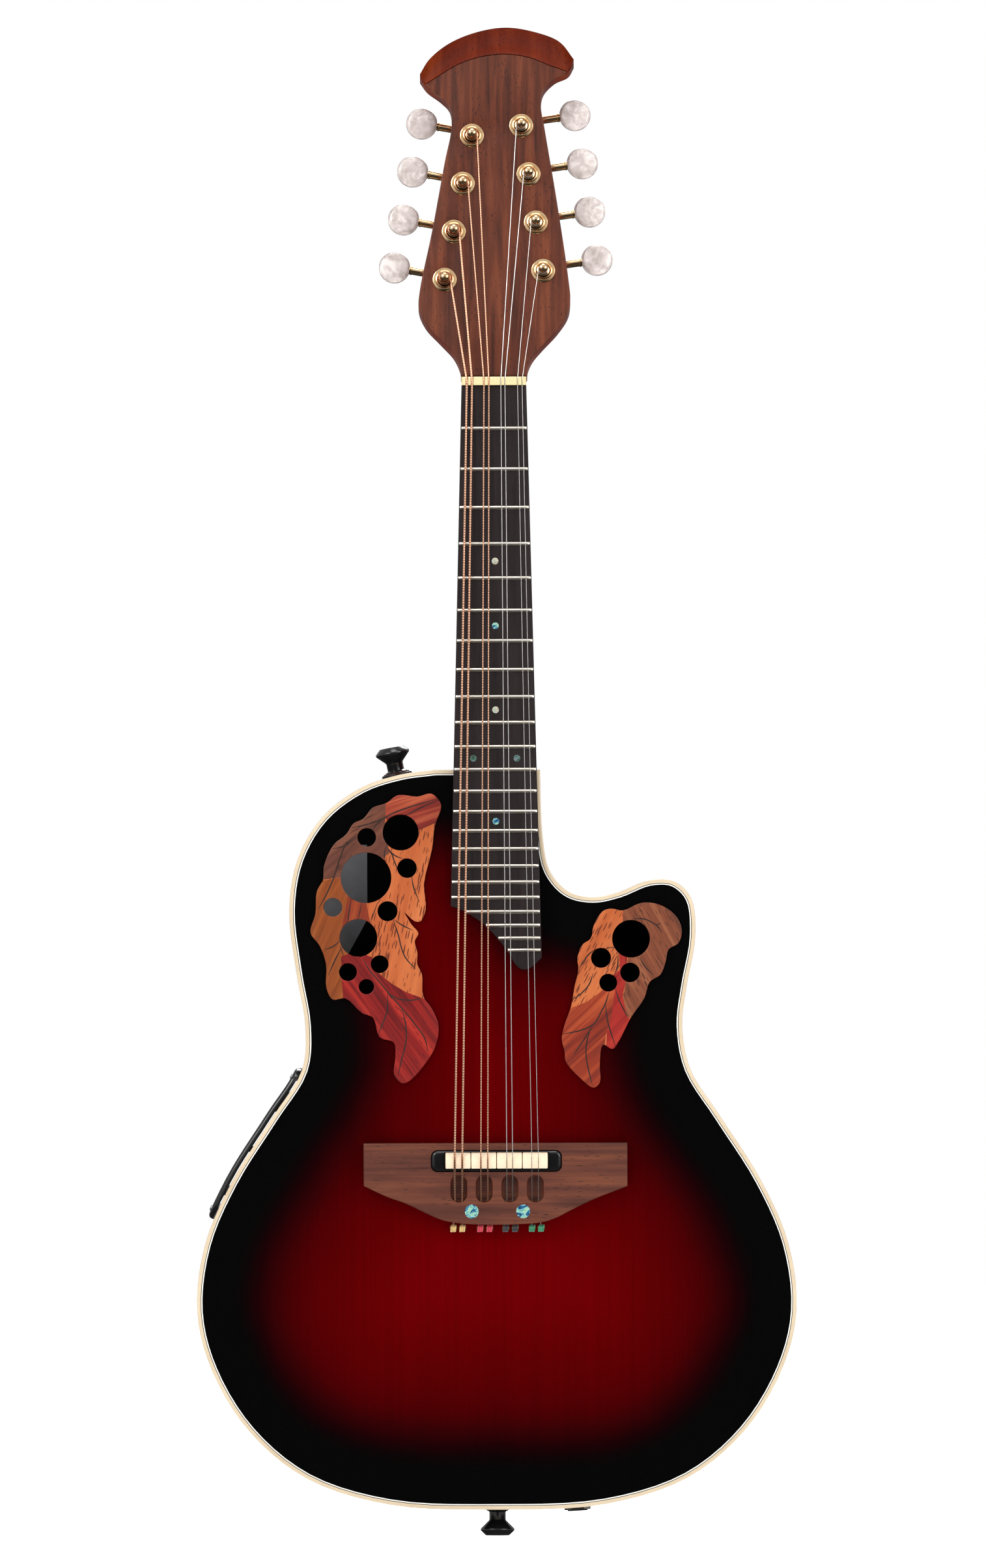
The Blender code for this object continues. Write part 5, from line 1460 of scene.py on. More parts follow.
def body_cutter(clearance):
    """The outside of the whole body, a little oversize, where the heel meets it."""
    outline = inset(body_outline(3), -clearance)
    rings = bowl_skin(outline, 0.0, (0, 4, 8, 13, 19, 26, 34, 43, 53, 64, 78))
    lowered = [[Vector((p.x, p.y, p.z - clearance)) for p in ring] for ring in rings[1:]]
    return loft([raised(outline, 4.0), raised(outline, -2.0), *lowered])


def post_spots(side):
    """The posts of one strip, from the nut end up, in the headstock's millimetres."""
    spots = []
    for number in MACHINES[side]:
        spot = HEAD.inverted() @ Vector(JOINTS[f"post_turn_{number}"]["pos_m"])
        spots.append(Vector((spot.x, spot.y)) / MM)
    return spots


def make_neck():
    head = inside_body(HEAD)
    face = slab(head_outline(), -HEAD_THICKNESS, -VENEER_THICKNESS, under=2.2, steps=4)
    neck = combined(neck_shaft(), moved(face, head), "UNION")
    neck = combined(neck, moved(crown_lip(), head), "UNION")
    holes = []
    for spot in post_spots("bass") + post_spots("treble"):
        hole = turned(((3.5, -HEAD_THICKNESS - 4), (3.5, 4.0)), 20)
        holes.append(moved(hole, head @ shift(spot.x, spot.y)))
    neck = cut(neck, body_cutter(0.3))
    neck = cut(neck, block((6.4, 166.0, 9.4), (0, 446.0, -4.2)), *holes)
    bmesh.ops.remove_doubles(neck, verts=neck.verts, dist=0.01)
    add_piece("mahogany_neck", neck, [M["mahogany"]], stands_for=["neck"], sharp=38)


def make_head_veneer():
    """The face veneer, which stops at the foot of the crown's scoop."""
    foot = [point + Vector((0, -0.25)) for point in smooth(SCOOP_FOOT, 6)]
    bass = [point for point in smooth(HEAD_BASS_EDGE, 6) if point.y < foot[0].y - 1.0]
    treble = [point for point in smooth(HEAD_TREBLE_EDGE, 6) if point.y < foot[-1].y - 1.0]
    holes = [circle(3.5, 24, spot) for side in MACHINES for spot in post_spots(side)]
    veneer = slab(bass + foot + treble, -VENEER_THICKNESS, 0.0, holes, over=0.3)
    add_piece("walnut_face_veneer", veneer, [M["walnut"]], stands_for=["headstock_veneer"],
              place=HEAD)


def board_outline():
    top = NUT_FACE - 0.15
    bass_end, treble_end = FINGERBOARD_CORNERS
    edge = [Vector((board_edge(top), top)), Vector((-board_edge(top), top))]
    edge += [Vector((-board_edge(bass_end), bass_end)), *smooth(FINGERBOARD_END, 6)]
    return [*edge, Vector((board_edge(treble_end), treble_end))]


def fret_height(number):
    return NUT_FACE - SCALE_LENGTH * (1 - 2 ** (-number / 12))


def board_span(up):
    """Where the fingerboard starts and ends across, at a height up the neck."""
    end = [point for point in smooth(FINGERBOARD_END, 6) if point.x < 11]
    start = -board_edge(up)
    if up < end[0].y:
        low, high = next((b, a) for a, b in zip(end, end[1:]) if b.y <= up)
        start = low.lerp(high, (up - low.y) / (high.y - low.y)).x
    return start, board_edge(up)


def fret_pattern():
    """A fret 1 mm long across the board, to be drawn out to length: a half-round crown with filed ends."""
    width, height = FRET_CROWN
    rings = []
    for across, size in ((-0.5, 0.45), (-0.488, 0.8), (-0.47, 1.0), (0.47, 1.0), (0.488, 0.8), (0.5, 0.45)):
        ring = []
        for side in range(14):
            angle = 2 * math.pi * side / 14
            ring.append(Vector((across, width / 2 * math.cos(angle), height * math.sin(angle) * size)))
        rings.append(ring)
    return loft(rings)


def make_fingerboard():
    board = slab(subdivided(board_outline(), 8.0), 0.3, BOARD_TOP, over=0.4)
    add_piece("rosewood_fingerboard", board, [M["rosewood"]], stands_for=["fingerboard"])
    spots = []
    for number in range(1, FRETS + 1):
        up = fret_height(number)
        start, end = board_span(up)
        size = Vector((end - start - 2 * FRET_INSET, 1, 1))
        spots.append((((start + end) / 2, up, BOARD_TOP), FORWARD, size))
    add_piece("frets", copies(fret_pattern(), spots, M["fret"]), [M["fret"]])
    middles = {n: (fret_height(n) + fret_height(n - 1)) / 2 for n in (5, 7, 10, 12, 15)}
    for name, marks in (
        ("dot_pearl", [(0.3, middles[5]), (0.3, middles[10])]),
        ("abalone", [(0.3, middles[7]), (0.3, middles[15])]),
        ("dot_dark", [(-10.1, middles[12]), (10.1, middles[12])]),
    ):
        disc = turned(((DOT_RADIUS, -0.6), (DOT_RADIUS, 0.01), (DOT_RADIUS - 0.05, 0.03)), 28)
        spots = [((x, y, BOARD_TOP), FORWARD, FULL_SIZE) for x, y in marks]
        add_piece("position_dots_" + name, copies(disc, spots, M[name]), [M[name]])


def make_nut():
    """A bone bar across the neck with a slot for each string, its back sloped down to the headstock."""
    top, half = STRING_HEIGHT_AT_NUT + 0.45, NUT_WIDTH / 2
    line = [(-half, 0.3), (half, 0.3), (half, top - 0.8), (half - 0.8, top)]
    for spot, radius in reversed(list(zip(NUT_SPOTS, STRING_RADII))):
        floor = STRING_HEIGHT_AT_NUT - radius - 0.15
        for step in range(5):
            angle = math.pi * step / 4
            wide = radius + 0.16
            line.append((spot + wide * math.cos(angle), floor + (top - floor) * (1 - math.sin(angle))))
    line += [(-half + 0.8, top), (-half, top - 0.8)]
    rings = []
    for up, drop in ((NUT_FACE + 0.15, 0.0), (NUT_FACE + 0.35, -0.2), (NUT_FACE + 2.2, 0.0),
                     (NUT_FACE + NUT_THICKNESS - 0.5, 0.5), (NUT_FACE + NUT_THICKNESS - 0.15, 0.9)):
        rings.append([Vector((x, up, h if h < top - 1.2 else h - max(0.0, drop))) for x, h in line])
    add_piece("bone_nut", loft(rings), [M["nut_bone"]], stands_for=["nut"])


# Bridge


def anchor_line(number):
    """The start, the end and the direction of a string's run from its pocket to its ball end."""
    pocket = Vector((SADDLE_SPOTS[number], POCKET_ENTRY, ANCHOR_HEIGHT))
    tail = Vector((ANCHOR_SPOTS[number], BALL_TOP, ANCHOR_HEIGHT - 0.4))
    return pocket, tail, (tail - pocket).normalized()


def make_bridge():
    edge = [Vector((60.6, 181.9)), Vector((-61.5, 181.9)), *smooth(BRIDGE_SWEEP, 6)]
    bridge = slab(subdivided(edge, 3.0), 0.3, BRIDGE_TOP, over=0.8, steps=4)
    seat = rounded_box(TRAY_SIZE[0] + 0.5, TRAY_SIZE[1] + 0.5, 3.2, TRAY_CENTRE)
    cutters = [slab(seat, TRAY_FLOOR - 0.3, 20.0)]
    low_end, high_end = POCKET_ENDS
    for across in POCKET_CENTRES:
        middle = (across, (low_end + high_end) / 2)
        slot = rounded_box(POCKET_WIDTH, high_end - low_end, POCKET_WIDTH / 2 - 0.01, middle, 8)
        rings = [raised(inset(slot, 1.0), POCKET_FLOOR), raised(inset(slot, 0.3), POCKET_FLOOR + 0.5)]
        rings += [raised(slot, POCKET_FLOOR + 1.6), raised(slot, BRIDGE_TOP - 0.5)]
        rings += [raised(inset(slot, -0.4), BRIDGE_TOP + 0.1), raised(inset(slot, -0.4), BRIDGE_TOP + 2)]
        cutters.append(loft(rings))
    bridge = cut(bridge, *cutters)
    drills = []
    for number in range(len(SADDLE_SPOTS)):
        pocket, tail, along = anchor_line(number)
        drills.append(tube((pocket - along * 2.0, tail + along * 3.0), (0.85, 0.85)))
    bridge = cut(bridge, *drills)
    add_piece("walnut_bridge", bridge, [M["bridge_walnut"]], stands_for=["bridge"])
    dot = slab(circle(BRIDGE_DOT_RADIUS, 40), -0.4, 0.04, over=0.03, steps=1)
    spots = [((x, BRIDGE_DOT_HEIGHT, BRIDGE_TOP), FORWARD, FULL_SIZE) for x in BRIDGE_DOTS]
    add_piece("bridge_dots", copies(dot, spots, M["abalone"]), [M["abalone"]])


def make_saddles():
    """The black tray and the four bone saddles that stand in it, each crowned under its course."""
    tray = slab(rounded_box(*TRAY_SIZE, 3.0, TRAY_CENTRE), TRAY_FLOOR, TRAY_TOP, over=1.5, steps=5)
    recess = slab(rounded_box(48.6, 8.0, 0.5, (0.05, SADDLE_MIDDLE), 2), TRAY_FLOOR + 1.2, TRAY_TOP + 6)
    add_piece("black_saddle_tray", cut(tray, recess), [M["black"]],
              stands_for=["saddle_tray"])
    floor, crest = TRAY_FLOOR + 1.4, SADDLE_TOP
    profile = (
        (170.15, floor), (170.15, 8.7), (170.5, 9.0), (171.5, crest - 1.2), (173.2, crest - 0.25),
        (174.4, crest), (175.3, crest - 0.05), (176.3, crest - 0.45), (177.3, 9.1), (177.55, 8.7),
        (177.55, floor),
    )
    for number, centre in enumerate(SADDLE_CENTRES, 1):
        rings = []
        for across, shrink in ((-5.8, 0.25), (-5.6, 0.0), (5.6, 0.0), (5.8, 0.25)):
            ring = []
            for up, height in profile:
                inwards = math.copysign(shrink, SADDLE_MIDDLE - up)
                ring.append(Vector((centre + across, up + inwards, height - shrink)))
            rings.append(ring)
        add_piece(f"bone_saddle_{number}", loft(rings), [M["saddle_bone"]],
                  stands_for=[f"saddle_{number}"])


# Strings


def string_path(number, post):
    """A string's centre line from its windings to its ball end, bent softly over the nut and saddle."""
    head = inside_body(HEAD)
    radius = STRING_RADII[number]
    inward = 1 if post.x < 0 else -1
    start = head @ Vector((post.x + inward * (WAIST_RADIUS + radius), post.y, 3.0))
    nut = Vector((NUT_SPOTS[number], NUT_FACE + NUT_THICKNESS / 2, STRING_HEIGHT_AT_NUT + 0.05))
    crest = Vector((SADDLE_SPOTS[number], SADDLE_CREST + 0.4, STRING_HEIGHT_AT_SADDLE))
    pocket, tail, along = anchor_line(number)
    path = [start]
    for before, here, after in ((start, nut, crest), (nut, crest, pocket)):
        back, onward = (before - here).normalized(), (after - here).normalized()
        bend = (back + onward) * 0.5
        path += [here + back * 1.8, here + back * 0.6 + bend * 0.25, here + onward * 0.6 + bend * 0.25]
        path.append(here + onward * 1.8)
    return [*path, pocket, tail, tail + along * 2.0]


def make_strings():
    bass, treble = post_spots("bass"), post_spots("treble")
    for number, post in enumerate([*bass, *reversed(treble)]):
        wound = number < WOUND_STRINGS
        wire = M["bronze"] if wound else M["plain_wire"]
        path = string_path(number, post)
        shape = tube(path, [STRING_RADII[number]] * len(path), 12)
        add_piece(f"string_wire_{number + 1}", shape, [wire],
                  stands_for=[f"string_{number + 1}"], sharp=60)


SILKS = ("silk_gold", "silk_red", "silk_black", "silk_green")


def make_ball_ends():
    """Each pair's ball ends: a small brass barrel with three turns of coloured silk round it."""
    for course, silk_name in enumerate(SILKS):
        parts = []
        for number in (2 * course, 2 * course + 1):
            _, tail, along = anchor_line(number)
            centre = tail + along * 1.45
            barrel = Matrix.Translation(centre) @ turn(90, "Y")
            core = turned(((0.9, -1.75), (1.2, -1.6), (1.2, 1.6), (0.9, 1.75)), 20)
            wrap = coil(3.0, 1.3, 2.5, 0.5, M[silk_name], barrel @ shift(forward=-1.25))
            parts += [painted(moved(core, barrel), 1), painted(wrap, 0)]
        add_piece(f"ball_ends_{silk_name}", joined(*parts), [M[silk_name], M["brass"]],
                  sharp=60)


# Tuning machines

WAIST_RADIUS = 2.0
POST_PROFILE = (
    (0.35, 8.18), (1.15, 7.98), (1.85, 7.5), (2.25, 6.85), (2.25, 6.3), (1.95, 5.85), (1.85, 5.6),
    (WAIST_RADIUS, 5.4), (WAIST_RADIUS, 2.2), (2.35, 1.95), (2.9, 1.75), (2.9, 1.5), (2.9, -16.6),
)


def gear_outline():
    """The worm wheel's rim, with flat-topped teeth."""
    root, tip = GEAR_PITCH_RADIUS - 0.55, GEAR_PITCH_RADIUS + 0.3
    rim = []
    for tooth in range(GEAR_TEETH):
        for share, radius in ((-0.2, root), (0.2, root), (0.41, tip), (0.59, tip)):
            angle = 2 * math.pi * (tooth + share) / GEAR_TEETH
            rim.append(Vector((radius * math.cos(angle), radius * math.sin(angle))))
    return rim


def post_shape():
    """A string post with its dome and cross hole, the worm wheel on its tail and the screw that holds it."""
    smooth_top = rounded_profile(POST_PROFILE[:7], 3)[:-1]
    post = turned([*smooth_top, *POST_PROFILE[6:], (1.6, -16.9), (1.6, -GEAR_CENTRE - 1.7)], 32)
    hole = moved(turned(((0.65, -6.0), (0.65, 6.0)), 14), shift(forward=4.4) @ turn(90, "X"))
    post = painted(cut(post, hole), 0)
    half = GEAR_DEPTH / 2
    wheel = painted(softened(slab(gear_outline(), -GEAR_CENTRE - half, -GEAR_CENTRE + half), 0.12), 1)
    tail = -GEAR_CENTRE - 1.6
    head = turned(((2.4, tail), (2.4, tail - 0.7), (1.9, tail - 1.3), (1.0, tail - 1.65)), 28)
    slot = block((6.0, 0.6, 1.0), (0, 0, tail - 1.6))
    return joined(post, wheel, painted(cut(head, slot), 2))


def shaft_shape(reach):
    """A worm shaft: its inner journal, its screw thread and its long stem with a collar at the button."""
    sides, samples, turns = 24, 12, 4
    root, crest = WORM_PITCH_RADIUS - 0.55, WORM_PITCH_RADIUS + 0.28
    start = -turns * WORM_PITCH / 2
    journal = (
        (0.9, -6.15), (1.3, -6.0), (SHAFT_RADIUS - 0.4, -5.8), (SHAFT_RADIUS - 0.4, start - 0.4),
        (root, start - 0.1),
    )
    rings = [raised(circle(radius, sides), height) for radius, height in journal]
    for row in range(turns * samples + 1):
        height = start + WORM_PITCH * row / samples
        fade = min(1.0, row / samples, (turns * samples - row) / samples)
        ring = []
        for side in range(sides):
            phase = (height / WORM_PITCH - side / sides) % 1.0
            rise = max(0.0, min(1.0, 1.35 - 4 * min(phase, 1 - phase))) * fade
            angle = 2 * math.pi * side / sides
            radius = root + (crest - root) * rise
            ring.append(Vector((radius * math.cos(angle), radius * math.sin(angle), height)))
        rings.append(ring)
    collar = reach - BUTTON_RADIUS - 0.9
    stem = (
        (root, -start + 0.1), (SHAFT_RADIUS - 0.1, -start + 0.35), (SHAFT_RADIUS, -start + 0.6),
        (SHAFT_RADIUS, collar - 0.2), (SHAFT_RADIUS + 0.22, collar), (SHAFT_RADIUS + 0.22, collar + 0.6),
        (SHAFT_RADIUS, collar + 0.8), (SHAFT_RADIUS, reach - 1.5), (1.2, reach - 1.0),
    )
    rings += [raised(circle(radius, sides), height) for radius, height in stem]
    return loft(rings)


def button_shape():
    """A round pearl button with a well-rounded rim, its axis across the shaft, drilled for the stem."""
    half, radius = BUTTON_THICKNESS / 2, BUTTON_RADIUS
    turns = [math.radians(18 * step) for step in range(1, 6)]
    rim = [(0.6, half), (radius - 2.6, half)]
    rim += [(radius - 2.0 + 2.0 * math.sin(t), half - 2.0 + 2.0 * math.cos(t)) for t in turns]
    profile = rim + [(r, -h) for r, h in reversed(rim)]
    shape = moved(turned(profile, 44), turn(90, "X"))
    return cut(shape, turned(((SHAFT_RADIUS + 0.3, -radius - 2), (SHAFT_RADIUS + 0.3, 0.4)), 24))


def make_machines():
    for side, numbers in MACHINES.items():
        reach = SHAFT_REACHES[side]
        for number in numbers:
            post, shaft = machine_places(number)
            knob, turning = f"tuner_knob_{number}", f"string_post_{number}"
            button = shaft @ Matrix.Translation((0, 0, reach * MM))
            metals = [M["gold"], M["brass"], M["steel"]]
            add_piece(f"gold_post_{number}", post_shape(), metals, turning,
                      [f"tuner_post_{number}"], post)
            add_piece(f"worm_shaft_{number}", shaft_shape(reach), [M["gold"]], knob,
                      [f"tuner_worm_shaft_{number}"], shaft)
            add_piece(f"pearl_button_{number}", button_shape(), [M["pearl"]], knob,
                      [f"tuner_button_{number}"], button)
            make_winding(number, side, post, turning)
        make_strip(side)
    make_bushings()


def make_winding(number, side, post, body):
    """The turns of string round a post, stacked down from its hole, and the cut end that pokes out of it."""
    order = number if side == "bass" else 13 - number
    radius = STRING_RADII[order - 1]
    turns = 2.4 if radius > 0.4 else 4.0
    wound = order <= WOUND_STRINGS
    wire = M["coil_bronze"] if wound else M["plain_wire"]
    rise = min(2.9, turns * radius * 2.05)
    handed = Matrix.Diagonal((1, -1 if side == "bass" else 1, 1, 1)) @ shift(forward=2.35 + radius)
    wrap = coil(turns, WAIST_RADIUS + radius * 0.92, rise, radius, wire, handed)
    end = moved(turned(((radius, -3.4), (radius, 2.4)), 10), shift(forward=4.4) @ turn(90, "X"))
    add_piece(f"string_winding_{number}", joined(wrap, end), [wire], body, place=post, sharp=60)


def strip_places(side):
    """The middle of a strip in the headstock's axes, and its turn along the headstock's edge."""
    spots = post_spots(side)
    return (spots[0] + spots[3]) / 2, turn(-math.degrees(EDGE_TILTS[side]), "Z"), spots


def lug_outline(height):
    """A lug lying along its strip: square at its foot and round at its free end."""
    half = LUG_WIDTH / 2
    turns = [math.radians(15 * step) for step in range(13)]
    tip = [Vector((half * math.cos(t), height - half + half * math.sin(t))) for t in turns]
    return [Vector((-half, 0.2)), Vector((half, 0.2)), *tip]


def make_strip(side):
    """The gold strip that carries four machines, with two bent-up lugs for each worm shaft."""
    middle, lean, spots = strip_places(side)
    back = -HEAD_THICKNESS - 0.3
    length = 3 * POST_SPACING + 24.0
    outline = rounded_box(11.0, length, 5.4, (0, 2.6), 10)
    holes = []
    for spot in spots:
        local = lean.inverted() @ Vector((spot.x - middle.x, spot.y - middle.y, 0))
        holes.append(circle(3.3, 24, local.xy))
    strip = slab(outline, back - PLATE_THICKNESS, back, holes, over=0.25, under=0.25)
    parts = [moved(strip, shift(*middle) @ lean)]
    lug = lug_outline(GEAR_CENTRE + 2.6 + back)
    bore = circle(SHAFT_RADIUS + 0.25, 24, (0, GEAR_CENTRE + back))
    for spot in spots:
        local = shift(spot.x, spot.y) @ lean
        for across in (-4.7, 4.7):
            stood = shift(across, CENTRE_DISTANCE, back) @ turn(-90, "Y") @ turn(-90, "Z")
            parts.append(moved(slab(lug, -0.6, 0.6, [bore], over=0.15, under=0.15), local @ stood))
    name = f"{side}_tuner_strip"
    add_piece(name, joined(*parts), [M["gold"]], stands_for=[f"tuner_plate_{side}"], place=HEAD)


def screw_pattern(radius):
    """A domed screw head with a cross recess, standing on its origin."""
    dome = ((1.0, 0.0), (1.0, 0.15), (0.9, 0.45), (0.6, 0.72), (0.15, 0.82))
    head = turned([(radius * share, height) for share, height in dome], 20)
    for across, up in ((1.1, 0.24), (0.24, 1.1)):
        head = cut(head, block((radius * across, radius * up, 1.2), (0, 0, 0.8)))
    return head


BUSHING_PROFILE = (
    (3.2, 0.02), (5.6, 0.02), (5.6, 0.32), (5.45, 0.5), (5.1, 0.6), (4.35, 0.66), (4.2, 0.85),
    (4.15, 1.15), (4.0, 1.4), (3.7, 1.5), (3.4, 1.42), (3.2, 1.2),
)
SCREW_SPOTS = (-1.62, -0.62, 0.38, 1.38, 1.78)


def make_bushings():
    """A pressed bushing with its washer round each post, and the screws that hold the strips."""
    rings = [raised(circle(radius, 40), height) for radius, height in BUSHING_PROFILE]
    spots = [((*spot, 0.0), FORWARD, FULL_SIZE) for side in MACHINES for spot in post_spots(side)]
    washers = copies(loft(rings, loop=True), spots, M["gold"])
    add_piece("post_bushings", washers, [M["gold"]], place=HEAD)
    spots = []
    back = -HEAD_THICKNESS - 0.3 - PLATE_THICKNESS
    for side in MACHINES:
        middle, lean, _ = strip_places(side)
        for place in SCREW_SPOTS:
            offset = lean @ Vector((0, place * POST_SPACING + 2.6, 0))
            spots.append(((middle.x + offset.x, middle.y + offset.y, back), -FORWARD, FULL_SIZE))
    screws = copies(screw_pattern(1.5), spots, M["gold"])
    add_piece("strip_screws", screws, [M["gold"]], place=HEAD)


# Fittings


STRAP_BUTTON_PROFILE = (
    (2.0, -9.0), (2.0, 0.3), (5.05, 0.3), (5.05, 0.75), (4.7, 1.0), (4.1, 1.2), (3.85, 1.5), (3.85, 4.9),
    (4.1, 5.4), (7.7, 9.0), (7.85, 9.3), (7.85, 9.9), (7.7, 10.15), (5.6, 12.15),
    (5.35, STRAP_BUTTON_LENGTH), (2.9, STRAP_BUTTON_LENGTH), (2.7, STRAP_BUTTON_LENGTH - 0.2),
    (2.7, STRAP_BUTTON_LENGTH - 2.4),
)


def make_strap_button(name, node, place):
    """A turned strap button with a shank, a waist for the strap, and a screw deep in its flat end."""
    button = painted(turned(STRAP_BUTTON_PROFILE, 48), 0)
    screw = painted(moved(screw_pattern(2.3), shift(forward=STRAP_BUTTON_LENGTH - 2.4)), 1)
    # A thin dark red ring under the button's flange
    washer = painted(turned(((2.2, 0.02), (5.9, 0.02), (6.0, 0.2), (5.9, 0.5), (2.2, 0.5)), 40), 2)
    add_piece(name, joined(button, screw, washer), [M["black"], M["steel"], M["red_washer_ring"]],
              stands_for=[node], place=place)


def make_jack():
    """The output socket: its threaded barrel, washer and hexagonal nut, open down its middle."""
    thread = [(4.55 + 0.14 * (step % 2), 1.9 + step * 0.22) for step in range(5)]
    tube_end = ((4.35, 2.8), (3.7, 2.8), (3.4, 2.6))
    barrel = ((3.4, -14.0), (4.6, -14.0), (4.6, 0.3), (4.6, 1.8), *thread, *tube_end)
    socket = loft([raised(circle(radius, 40), height) for radius, height in barrel], loop=True)
    ring = ((4.7, 0.05), (6.95, 0.05), (6.95, 0.75), (6.75, 0.95), (4.7, 0.95))
    washer = loft([raised(circle(radius, 40), height) for radius, height in ring], loop=True)
    nut = slab(subdivided(circle(6.1, 6), 0.8), 1.0, 2.3, [circle(4.75, 40)], over=0.35)
    add_piece("nickel_jack", joined(socket, washer, nut), [M["nickel"]],
              stands_for=["output_jack"], place=JACK)


# Control panel


def make_bezel():
    """The frame round the controls. It follows the wall's curve and stands a little proud of it."""
    outline = subdivided(rounded_box(BEZEL_LENGTH, CONTROL_WIDTH, 8.0), 3.0)
    middle = sum(CONTROL_ENDS) / 2
    rise = (CONTROL_ENDS[1] - CONTROL_ENDS[0]) / BEZEL_LENGTH
    section = [(0.0, 0.5), (0.0, 1.7), (0.25, 2.35), (0.8, 2.9), (1.6, CONTROL_PROUD), (5.5, CONTROL_PROUD),
               (6.0, CONTROL_PROUD - 0.2), (6.2, CONTROL_PROUD - 0.6), (6.2, 0.5)]
    rings = []
    for back, proud in section:
        ring = inset(outline, back)
        rings.append([wall_point(middle + p.x * rise, CONTROL_DEPTH + p.y, proud) for p in ring])
    add_piece("panel_bezel", loft(rings, loop=True), [M["black"]],
              stands_for=["control_bezel"])
    spots = []
    across, up = BEZEL_SCREWS
    for sx, sy in ((-1, -1), (-1, 1), (1, -1), (1, 1)):
        spot = (middle + sx * across * rise, CONTROL_DEPTH + sy * up)
        point = wall_point(*spot, CONTROL_PROUD - 0.15)
        normal = wall_point(*spot, CONTROL_PROUD + 1) - point
        spots.append((point, normal.normalized(), FULL_SIZE))
    add_piece("bezel_screws", copies(screw_pattern(1.6), spots, M["steel"]), [M["steel"]])


def make_preamp():
    """The module's face: slots for the sliders, wells for the knob and button, and printed scale marks."""
    width, height = MODULE_SIZE
    length = SLIDER_TRAVEL * 2 + 4.0
    holes = [rounded_box(length, 1.8, 0.85, (SLIDER_SPOT, row)) for row in SLIDER_ROWS.values()]
    holes += [circle(2.7, 32, (KNOB_SPOT, 0)), circle(3.4, 32, (SWITCH_SPOT, 0))]
    case, room = rounded_box(width, height, 1.2), rounded_box(width - 3, height - 3, 0.6)
    face = slab(case, MODULE_FACE - 2.0, MODULE_FACE, holes, over=0.3)
    walls = slab(case, MODULE_FACE - 7.0, MODULE_FACE - 2.0, [room])
    back = slab(case, MODULE_FACE - MODULE_DEPTH, MODULE_FACE - 7.0, under=0.6)
    module = joined(painted(face, 0), painted(walls, 0), painted(back, 0))
    add_piece("preamp_panel", module, [M["matt_black"]], stands_for=["preamp_module"],
              place=PANEL)
    tick = block((0.25, 1.1, 0.06), (0, 0, 0.02))
    spots = []
    for row in SLIDER_ROWS.values():
        for step in range(-4, 5):
            across = SLIDER_SPOT + step * SLIDER_TRAVEL / 4
            size = Vector((1.6 if step == 0 else 1.0, 1.25 if step == 0 else 0.8, 1))
            spots.append(((across, row + math.copysign(2.6, row), MODULE_FACE), FORWARD, size))
    for step in range(-5, 6):
        angle = math.radians(90 + step * 27)
        spot = (KNOB_SPOT + 7.3 * math.cos(angle), 7.3 * math.sin(angle), MODULE_FACE)
        spots.append((spot, FORWARD, Vector((1.6, 0.4, 1))))
    add_piece("scale_marks", copies(tick, spots, M["mark"]), [M["mark"]], place=PANEL)


CONTROL_BASE = MODULE_FACE + 0.3
KNOB_PROFILE = (
    (2.3, -5.0), (2.3, 0.0), (6.0, 0.0), (6.4, 0.25), (6.4, 0.9), (6.1, 1.2), (5.9, 3.1), (5.6, 3.6),
    (5.2, 3.8), (1.2, 3.7),
)
SWITCH_PROFILE = ((3.0, -3.6), (3.0, 1.4), (2.85, 1.85), (2.4, 2.15), (1.4, 2.0))


def control_place(spot, row=0.0):
    """The axes of a control on the panel."""
    return PANEL @ Matrix.Translation((spot * MM, row * MM, 0))


def make_volume_knob():
    """A fluted cap with a printed pointer."""
    base = CONTROL_BASE
    knob = turned([(radius, base + height) for radius, height in KNOB_PROFILE], 48)
    grooves = []
    for step in range(20):
        groove = block((0.8, 0.5, 3.4), (6.25, 0, base + 2.6))
        grooves.append(moved(groove, turn(18 * step + 9, "Z")))
    knob = painted(cut(knob, *grooves), 0)
    pointer = painted(block((4.2, 0.6, 0.2), (3.4, 0, base + 3.76)), 1)
    add_piece("volume_knob_cap", joined(knob, moved(pointer, turn(90, "Z"))), [M["black"], M["mark"]],
              "volume_knob", ["volume_knob"], place=control_place(KNOB_SPOT))


def make_slider(name, row):
    """A ridged cap with a printed line, on a stem through its slot."""
    base = CONTROL_BASE
    cap = softened(block((3.2, 5.6, 3.2), (0, 0, base + 1.6)), 0.4, 3)
    ridges = [block((0.35, 6.4, 0.7), (across, 0, base + 3.2)) for across in (-1.0, -0.35, 0.35, 1.0)]
    cap = painted(cut(cap, *ridges), 0)
    stem = painted(block((1.6, 1.1, 4.0), (0, 0, base - 1.7)), 0)
    line = painted(block((0.3, 4.4, 0.12), (0, 0, base + 3.16)), 1)
    add_piece(name + "_cap", joined(cap, stem, line), [M["black"], M["mark"]], name,
              [name], control_place(SLIDER_SPOT, row))


def make_controls():
    make_volume_knob()
    for name, row in SLIDER_ROWS.items():
        make_slider(name, row)
    press = turned([(radius, CONTROL_BASE + height) for radius, height in SWITCH_PROFILE], 36)
    add_piece("tuner_switch_cap", press, [M["rubber"]], "tuner_switch",
              ["tuner_switch"], control_place(SWITCH_SPOT))


def dress_hidden_nodes():
    """The pieces inside keep their CAD shape and take a real material."""
    for node, material in (("truss_rod", M["steel"]), ("soundboard_braces", M["spruce"])):
        for slot in frame["nodes"][node].material_slots:
            slot.material = material


# Studio

